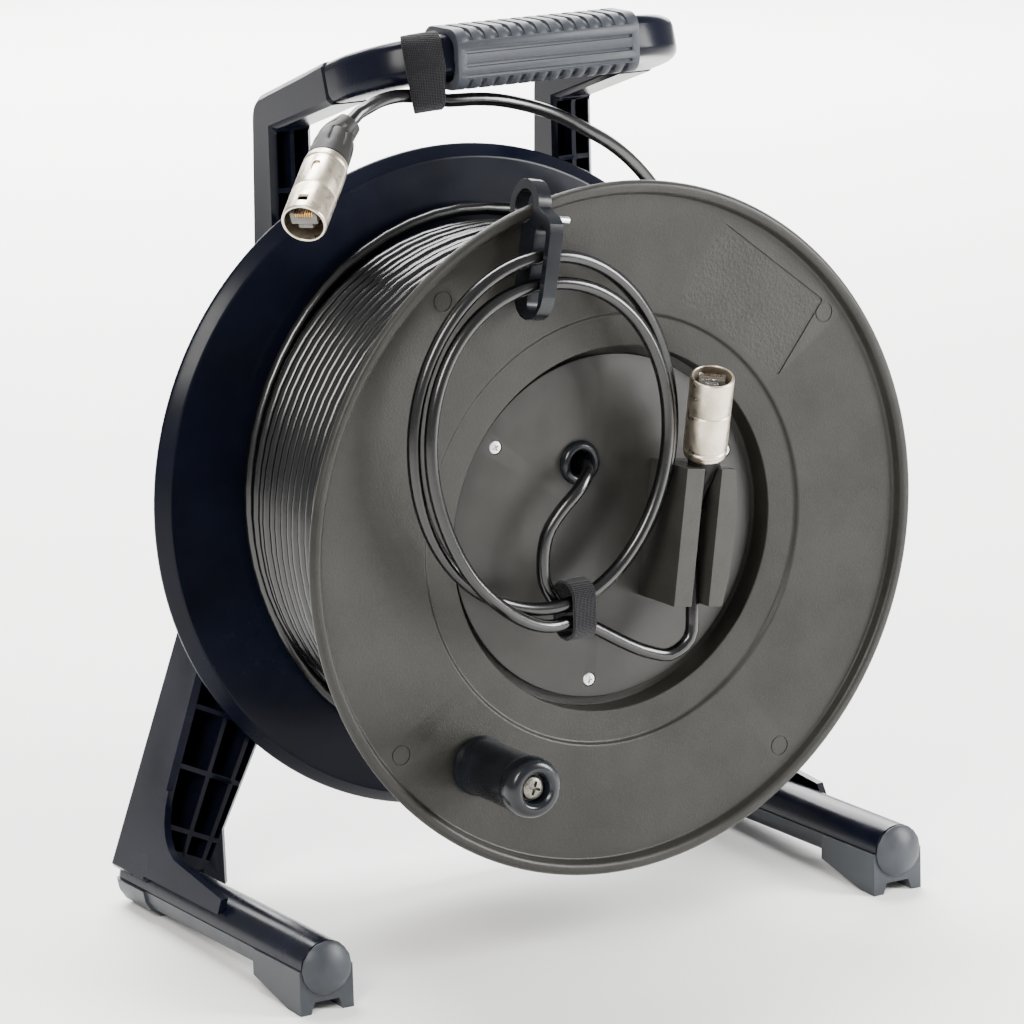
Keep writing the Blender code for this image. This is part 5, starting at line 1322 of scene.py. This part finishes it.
@dataclass
class Drum:
    """The drum: two flanges, the barrel, the connector plate, its grommet, screws and connector holder.

    Attributes:
        flange_radius: radius of both flanges.
        rim_depth: how thick a flange's rim is along the axle.
        rim_width: how wide its flat front is.
        setback: how far the face lies behind the rim's front.
        web: thickness of the flange's wall.
        length: from the front flange's rim to the rear one's.
        step_radius: radius of the raised ring round the recess.
        step_depth: how far the face steps back inside that ring.
        recess_radius: radius of the recess for the plate.
        plate_radius: radius of the connector plate.
        plate_front: y of its front.
        plate_thickness: its thickness.
        neck_radius: radius of the hole that the grommet sits in.
        screw_radius: distance of the plate's screws from the axle.
        screw_angles: their angles in degrees.
        screw_steps: faces round a small turned part.
        mark_radius: distance of the ejector marks from the axle.
        mark_angles: their angles in degrees.
        label_size: width and height of the sunk label field.
        label_place: radius and angle of its middle.
        label_turn: its turn in the flange, in degrees.
        label_depth: how deep it is sunk.
        round_steps: faces round a flange.
    """

    flange_radius: float = 155.0
    rim_depth: float = 4.0
    rim_width: float = 5.5
    setback: float = 5.0
    web: float = 3.0
    length: float = 149.4
    step_radius: float = 96.5
    step_depth: float = 1.8
    recess_radius: float = 81.5
    plate_radius: float = 77.0
    plate_front: float = 15.0
    plate_thickness: float = 3.0
    neck_radius: float = 8.3
    screw_radius: float = 69.0
    screw_angles: tuple[float, ...] = (30.0, 150.0, -90.0)
    screw_steps: int = 32
    mark_radius: float = 140.0
    mark_angles: tuple[float, ...] = (45.0, 135.0, 225.0, 315.0)
    label_size: Pair = (65.0, 40.0)
    label_place: Pair = (119.7, 60.0)
    label_turn: float = 30.0
    label_depth: float = 0.5
    round_steps: int = 180

    @property
    def plate_seat(self) -> float:
        """Return the y of the recess floor, which the plate rests just in front of."""
        return self.plate_front + self.plate_thickness + FIT

    def profile(self, front: bool) -> list[Pair]:
        """Return one flange's profile as (radius, y), seen as the front flange."""
        back = self.setback + self.web
        inner = self.flange_radius - self.rim_width
        rim = [(inner - 1.0, self.setback), (inner + 0.1, 1.0), (inner + 1.5, 0.0),
               (self.flange_radius - 1.2, 0.0), (self.flange_radius, 1.8),
               (self.flange_radius, self.rim_depth - 1.0), (self.flange_radius - 1.0, self.rim_depth),
               (inner, back)]
        if not front:
            return [(13.0, self.setback)] + rim + [(13.0, back)]
        floor, step = self.plate_seat, self.setback + self.step_depth
        start = [(14.0, floor), (self.recess_radius, floor), (self.recess_radius, step),
                 (self.step_radius - 0.8, step), (self.step_radius + 0.2, self.setback)]
        end = [(self.recess_radius + self.web, back), (self.recess_radius + self.web, floor + self.web),
               (14.0, floor + self.web)]
        return start + rim + end

    def build(self, shop: Workshop) -> None:
        """Add all of the drum."""
        self.front(shop)
        self.rear(shop)
        self.plate(shop)
        self.grommet(shop)
        self.screws(shop)
        shop.refine("connector_holder", HOLDER, Body.DRUM, 0.6)
        for node, finish in (("drum_barrel", GLOSS), ("drum_hub", GLOSS), ("hub_bush_front", BUSH),
                             ("hub_bush_rear", BUSH)):
            shop.dress_node(node, finish)

    @staticmethod
    def hole(radius: float, start: float, end: float, centre: Pair, steps: int) -> Mould:
        """Return a round bar along the axle's line for cutting a hole."""
        return Mould().lathe([(0.0, start), (radius, start), (radius, end), (0.0, end)], steps, centre, False)

    def front(self, shop: Workshop) -> None:
        """Add the front flange with its sunk label field, ejector marks and pin hole."""
        face = self.setback
        outline = fillet(self.profile(True), 0.9, 3)
        obj = shop.raw("front_flange_fine", Mould().lathe(outline, self.round_steps))
        pin_hole = self.hole(4.3, 0.0, 12.0, CRANK_PLACE, 24)
        width, height = self.label_size
        sunk = Mould().prism(rounded_box(width, height, 1.2, 3), face - 2.0, face + self.label_depth)
        x, z = polar(*self.label_place)
        turn = Matrix.Translation((x, 0.0, z)) @ Matrix.Rotation(math.radians(self.label_turn), 4, "Y")
        sunk.bm.transform(turn)
        ring = [(4.0, face - 1.0), (4.6, face - 1.0), (4.6, face + 0.35), (4.0, face + 0.35)]
        marks = [Mould().lathe(ring, self.screw_steps, polar(self.mark_radius, angle))
                 for angle in self.mark_angles]
        neck = self.hole(self.neck_radius, 10.0, 30.0, GROMMET_PLACE, self.screw_steps)
        shop.cut(obj, [pin_hole, sunk, neck, *marks])
        obj.data.materials.clear()
        obj.data.materials.append(FACE.material())
        obj.data.materials.append(LABEL.material())
        inside = turn.inverted()
        for polygon in obj.data.polygons:
            middle = polygon.center
            spot = inside @ middle
            deep = abs(middle.y - face - self.label_depth) < 0.05
            within = abs(spot.x) < width / 2 + 0.5 and abs(spot.z) < height / 2 + 0.5
            polygon.material_index = 1 if deep and within else 0
        shop.finish(obj, DRUM, FACE, Body.DRUM, ["front_flange"], 28.0)

    def rear(self, shop: Workshop) -> None:
        """Add the glossy rear flange."""
        outline = [(radius, self.length - y) for radius, y in fillet(self.profile(False), 0.9, 3)]
        obj = shop.raw("rear_flange_fine", Mould().lathe(outline, self.round_steps))
        shop.finish(obj, DRUM, GLOSS, Body.DRUM, ["rear_flange"], 28.0)

    def plate(self, shop: Workshop) -> None:
        """Add the connector plate with its countersinks."""
        front, back = self.plate_front, self.plate_front + self.plate_thickness
        edge = [(0.0, front), (self.plate_radius, front), (self.plate_radius, back), (0.0, back)]
        outline = fillet(edge, 0.7, 3, False)
        obj = shop.raw("connector_plate_fine", Mould().lathe(outline, 128, closed=False))
        sink = [(0.0, front - 1.0), (3.3, front - 1.0), (3.3, front + 0.5), (1.8, front + 2.0),
                (1.8, back + 1.0), (0.0, back + 1.0)]
        cuts = [Mould().lathe(sink, self.screw_steps, polar(self.screw_radius, degrees), False)
                for degrees in self.screw_angles]
        cuts.append(self.hole(self.neck_radius, front - 2.0, back + 2.0, GROMMET_PLACE, self.screw_steps))
        shop.cut(obj, cuts)
        shop.finish(obj, DRUM, PLATE, Body.DRUM, ["connector_plate"], 28.0)

    def grommet(self, shop: Workshop) -> None:
        """Add the domed cable grommet."""
        face = self.plate_front - FIT
        neck_end = self.plate_seat + self.web + FIT
        outline = [(5.5, face - 1.2), (5.9, face - 2.6), (6.8, face - 3.4), (7.8, face - 3.5),
                   (9.0, face - 2.8), (9.8, face - 1.4), (10.0, face - 0.5), (10.0, face), (8.0, face),
                   (8.0, neck_end), (9.5, neck_end), (9.5, neck_end + 2.0), (5.5, neck_end + 2.0)]
        obj = shop.raw("cable_grommet_fine", Mould().lathe(fillet(outline, 0.5, 2), 64, GROMMET_PLACE))
        shop.finish(obj, DRUM, KNOB, Body.DRUM, ["cable_grommet"], 45.0)

    def screws(self, shop: Workshop) -> None:
        """Add the three bright cross-head screws."""
        face = self.plate_front - 0.1
        for number, degrees in enumerate(self.screw_angles, start=1):
            spot = polar(self.screw_radius, degrees)
            outline = [(0.0, face - 0.15), (1.6, face - 0.1), (2.6, face + 0.05), (2.9, face + 0.3),
                       (2.9, face + 0.5), (1.5, face + 1.9), (1.5, face + 9.0), (0.0, face + 9.0)]
            obj = shop.raw("plate_screw_%d_fine" % number, Mould().lathe(outline, 40, spot, False))
            shop.cut(obj, cross_recess(spot, face - 1.0, face + 1.0, 1.55, 0.42, degrees))
            shop.finish(obj, DRUM, STEEL, Body.DRUM, ["plate_screw_%d" % number], 30.0)


def cross_recess(centre: Pair, start: float, end: float, arm: float, half: float,
                 turn: float) -> list[Mould]:
    """Return the two bars of a cross recess for cutting.

    Args:
        centre: (x, z) of the screw.
        start: y where the bars begin, in front of the head.
        end: y where they end, inside it.
        arm: length of an arm.
        half: half the width of an arm.
        turn: angle of the cross in degrees.

    Returns:
        The two raw bars.
    """
    tools = []
    for extra in (0.0, 90.0):
        bar = Mould().box((-arm, start, -half), (arm, end, half))
        bar.bm.transform(Matrix.Translation((centre[0], 0.0, centre[1]))
                         @ Matrix.Rotation(math.radians(turn + extra), 4, "Y"))
        tools.append(bar)
    return tools


@dataclass
class Crank:
    """The winding knob on its pin, with the screw in its end.

    Attributes:
        place: (x, z) of the pin.
        radius: the knob's radius.
        front: y of its outer end.
        recess_floor: y of the floor that the screw sinks to.
        base: y of its end at the flange.
    """

    place: Pair = CRANK_PLACE
    radius: float = 13.5
    front: float = -46.0
    recess_floor: float = -39.5
    base: float = 4.7

    def build(self, shop: Workshop) -> None:
        """Add the knob and its screw; the pin keeps its CAD shape."""
        r, f = self.radius, self.front
        outline = [(4.3, self.base), (r - 1.2, self.base), (r, self.base - 1.4), (r, self.base - 3.0),
                   (r - 0.9, self.base - 5.2), (r - 0.9, f + 11.5), (r - 0.5, f + 10.0), (r, f + 8.6),
                   (r, f + 5.0), (r - 0.5, f + 2.8), (r - 1.6, f + 1.1), (r - 3.0, f + 0.25), (r - 4.6, f),
                   (r - 5.6, f + 0.3), (7.2, f + 1.0), (6.7, f + 1.6), (6.6, self.recess_floor),
                   (4.3, self.recess_floor)]
        knob = shop.raw("crank_knob_fine", Mould().lathe(fillet(outline, 0.8, 3), 96, self.place))
        shop.finish(knob, DRUM, KNOB, Body.KNOB, ["crank_knob"], 40.0)
        head = self.recess_floor - 3.4
        back = self.recess_floor - FIT
        screw_line = [(0.0, head - 0.35), (2.0, head - 0.25), (3.9, head), (4.9, head + 0.6),
                      (5.4, head + 1.6), (5.4, back), (2.0, back), (2.0, back + 12.0), (0.0, back + 12.0)]
        screw = shop.raw("crank_screw_fine", Mould().lathe(screw_line, 56, self.place, False))
        shop.cut(screw, cross_recess(self.place, head - 2.0, head + 1.6, 3.1, 0.62, 12.0))
        shop.finish(screw, DRUM, GREY_STEEL, Body.DRUM, ["crank_screw"], 30.0)
        shop.dress_node("crank_pin", STEEL)


def arm_height(y: float) -> float:
    """Return the height of the handle's centreline at a place along its arms, in millimetres."""
    return BAR_Z - math.tan(ARM_SLOPE) * (y - BAR_Y)


@dataclass
class Bands:
    """The two hook-and-loop bands: one round the inner loops, one round the handle and the outer lead.

    Attributes:
        thickness: the strap's thickness.
        drop: how far the strap's own centre lies below the bar's.
        strap_angles: where the strap lies on the handle's bend, in degrees.
        tie_middle: middle of the tie.
        tie_places: the tie's sections along X.
        edge: width of the rounds along the bands' edges.
    """

    thickness: float = 1.5
    drop: float = 4.2
    strap_angles: tuple[float, ...] = (265.0, 261.0, 257.0, 252.0, 247.0, 242.0, 238.0)
    tie_middle: Pair = (-4.8, -29.4)
    tie_places: tuple[float, ...] = (-34.0, -33.4, -31.0, -28.2, -25.4, -23.0, -22.4)
    edge: float = 0.4

    @staticmethod
    def hug(extra: float) -> list[Pair]:
        """Return a closed section that hugs the bar and the lead below it.

        Args:
            extra: distance outside the tightest fit.

        Returns:
            The section about the strap's own centre.
        """
        steps = 6
        top, low, side, corner = 14.1 + extra, -6.2, 11.1 + extra, 5.3 + extra
        points = arc((side - corner, top - corner), corner, 0.0, 90.0, steps)
        points += arc((-side + corner, top - corner), corner, 90.0, 180.0, steps)
        points += arc((-side + corner, low + corner), corner, 180.0, 215.0, steps)
        points += arc((0.0, -11.6), 5.2 + extra, 215.0, 325.0, 2 * steps)
        points += arc((side - corner, low + corner), corner, 325.0, 360.0, steps)[:-1]
        return points

    def build(self, shop: Workshop) -> list[bpy.types.Object]:
        """Add both bands and return the tie, which is on the inner lead."""
        tie = self.tie(shop)
        self.strap(shop)
        return [tie]

    def tie(self, shop: Workshop) -> bpy.types.Object:
        """Add the tie round the inner loops."""
        path = [Vector((x, *self.tie_middle)) for x in self.tie_places]
        outer = rounded_box(18.4, 27.0, 8.4, 8)
        hole = rounded_box(15.6, 24.2, 7.0, 8)
        obj = shop.raw("lead_tie_fine", Mould().sweep(path, [outer] * len(path), (0.0, 0.0, 1.0), hole))
        shop.soften(obj, self.edge, 50.0)
        return shop.finish(obj, STAND, TEXTILE, Body.DRUM, ["lead_tie"], 50.0)

    def strap(self, shop: Workshop) -> None:
        """Add the strap, which follows the handle's bend."""
        line = []
        for degrees in self.strap_angles:
            angle = math.radians(degrees)
            x = -ARM_X + BOW_BEND + BOW_BEND * math.cos(angle)
            y = BAR_Y + BOW_BEND + BOW_BEND * math.sin(angle)
            line.append(Vector((x, y, arm_height(y) - self.drop)))
        up = (0.0, math.sin(ARM_SLOPE), math.cos(ARM_SLOPE))
        wrap = [self.hug(self.thickness)] * len(line)
        obj = shop.raw("handle_strap_fine", Mould().sweep(line, wrap, up, self.hug(0.0)))
        shop.soften(obj, self.edge, 50.0)
        shop.finish(obj, STAND, TEXTILE, Body.STAND, ["handle_strap"], 50.0)


@dataclass
class StandFrame:
    """The moulded frame, its handle bow and grip, the feet and the fixed axle.

    Attributes:
        seam: y where the bow meets the frame's arms.
        bend_steps: points in each of the bow's bends.
        grip_half: half the grip's length.
        collar: width of the plain collar at each end of the grip.
        rib_count: channels across the grip's top and bottom.
        channel_half: half the width of a channel.
        lane_heights: heights of the long grooves in the grip's faces.
    """

    seam: float = 100.0
    bend_steps: int = 16
    grip_half: float = 46.5
    collar: float = 3.4
    rib_count: int = 13
    channel_half: float = 1.15
    lane_heights: Triple = (3.6, -2.2, -7.2)

    def build(self, shop: Workshop) -> None:
        """Add all of the stand."""
        shop.refine("rear_frame", GLOSS, Body.STAND, 0.5, 35.0)
        self.bow(shop)
        self.grip(shop)
        for word in ("left", "right"):
            shop.refine("foot_beam_" + word, GLOSS, Body.STAND, 0.4, 40.0)
            shop.refine("foot_shoe_" + word, SHOE, Body.STAND, 0.4, 40.0)
            shop.refine("foot_cap_" + word, SHOE, Body.STAND, 0.3, 40.0)
        for node in ("axle", "axle_washer", "axle_nut_front", "axle_nut_rear"):
            shop.dress_node(node, STEEL)

    def bow(self, shop: Workshop) -> None:
        """Add the handle bow as one smooth bend."""
        flat = [(-ARM_X, self.seam)]
        flat += arc((-ARM_X + BOW_BEND, BAR_Y + BOW_BEND), BOW_BEND, 180, 270, self.bend_steps)
        flat += arc((ARM_X - BOW_BEND, BAR_Y + BOW_BEND), BOW_BEND, 270, 360, self.bend_steps)
        flat += [(ARM_X, self.seam)]
        path = [Vector((x, y, arm_height(y))) for x, y in flat]
        section = rounded_box(21.5, 19.0, 5.0, 5)
        up = (0.0, math.sin(ARM_SLOPE), math.cos(ARM_SLOPE))
        obj = shop.raw("handle_bow_fine", Mould().sweep(path, [section] * len(path), up))
        shop.finish(obj, STAND, GLOSS, Body.STAND, ["handle_bow"], 40.0)

    def grip(self, shop: Workshop) -> None:
        """Add the rubber grip: ribs over its top and bottom, long grooves in its faces, plain collars."""
        half = self.grip_half
        ribbed = 2 * half - 2 * self.collar
        path = [Vector((x, 0.0, 0.0)) for x in (-half, half)]
        outer, bore = rounded_box(30.0, 27.0, 7.5, 8), rounded_box(22.1, 19.6, 5.3, 8)
        obj = shop.raw("handle_grip_fine", Mould().sweep(path, [outer] * 2, (0.0, 0.0, 1.0), bore))
        step = ribbed / self.rib_count
        first = -half + self.collar + step / 2
        start, end = first - self.channel_half, first + self.channel_half
        tools: list[Mould | bpy.types.Object] = []
        channel = [(-17.0, 8.6), (-13.5, 8.6), (-13.3, 9.4), (-11.4, 10.9), (-8.6, 11.9), (8.6, 11.9),
                   (11.4, 10.9), (13.3, 9.4), (13.5, 8.6), (17.0, 8.6), (17.0, 16.0), (-17.0, 16.0)]
        for way in (1.0, -1.0):
            notch = Mould().prism([(y, way * z) for y, z in channel], start, end, Axis.X)
            tools.append(shop.row("notches", notch, self.rib_count, (step, 0.0, 0.0), RUBBER))
        for height in self.lane_heights:
            for front in (-1.0, 1.0):
                lane = Mould().prism(rounded_box(ribbed - 1.0, 1.5, 0.7, 3), 14.0, 17.0)
                lane.bm.transform(Matrix.Translation((0.0, 0.0, height))
                                  @ Matrix.Diagonal((1.0, front, 1.0, 1.0)))
                tools.append(lane)
        shop.cut(obj, tools)
        shop.soften(obj, 0.4, 40.0, True)
        place = STAND @ Matrix.Translation((0.0, BAR_Y, BAR_Z))
        shop.finish(obj, place, RUBBER, Body.STAND, ["handle_grip"], 40.0)


def build_connectors(shop: Workshop) -> tuple[list[bpy.types.Object], list[bpy.types.Object]]:
    """Add both connectors.

    Args:
        shop: the workshop.

    Returns:
        The outer connector's pieces and the inner connector's.
    """
    outer = Connector("outer_conn", Body.STAND, STAND, OUTER_BACK, OUTER_MOUTH, outer_boot_line(),
                      boot_radii=(9.1, 9.1, 8.9, 8.1, 6.8, 5.4)).build(shop)
    lift = (INNER_MOUTH - INNER_BACK).normalized() * FIT
    inner = Connector("inner_conn", Body.DRUM, DRUM, INNER_BACK + lift, INNER_MOUTH, INNER_BOOT).build(shop)
    return outer, inner


def main() -> None:
    """Build the camera, the cable, every sub-assembly and the studio, in that order."""
    logging.basicConfig(level=logging.INFO, format="%(message)s")
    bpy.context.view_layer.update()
    studio = Studio()
    studio.camera()
    shop = Workshop()
    cable = Cable()
    leads = Leads(cable)
    wound, wound_line = cable.tube(shop, "wound_cable", cable.wound(), Body.DRUM,
                                   ["winding_core", "winding_layer"])
    inner, inner_line = cable.tube(shop, "inner_lead_cable", leads.inner(), Body.DRUM, ["inner_lead"])
    outer, outer_line = cable.tube(shop, "outer_lead_cable", leads.outer(), Body.STAND, ["outer_lead"])
    outer_pieces, inner_pieces = build_connectors(shop)
    tie = Bands().build(shop)
    Drum().build(shop)
    Crank().build(shop)
    StandFrame().build(shop)
    shop.refine("flange_clip", KNOB, Body.DRUM, 0.4)
    shop.dress_node("clip_pin", STEEL)
    studio.build()


if __name__ == "__main__":
    main()
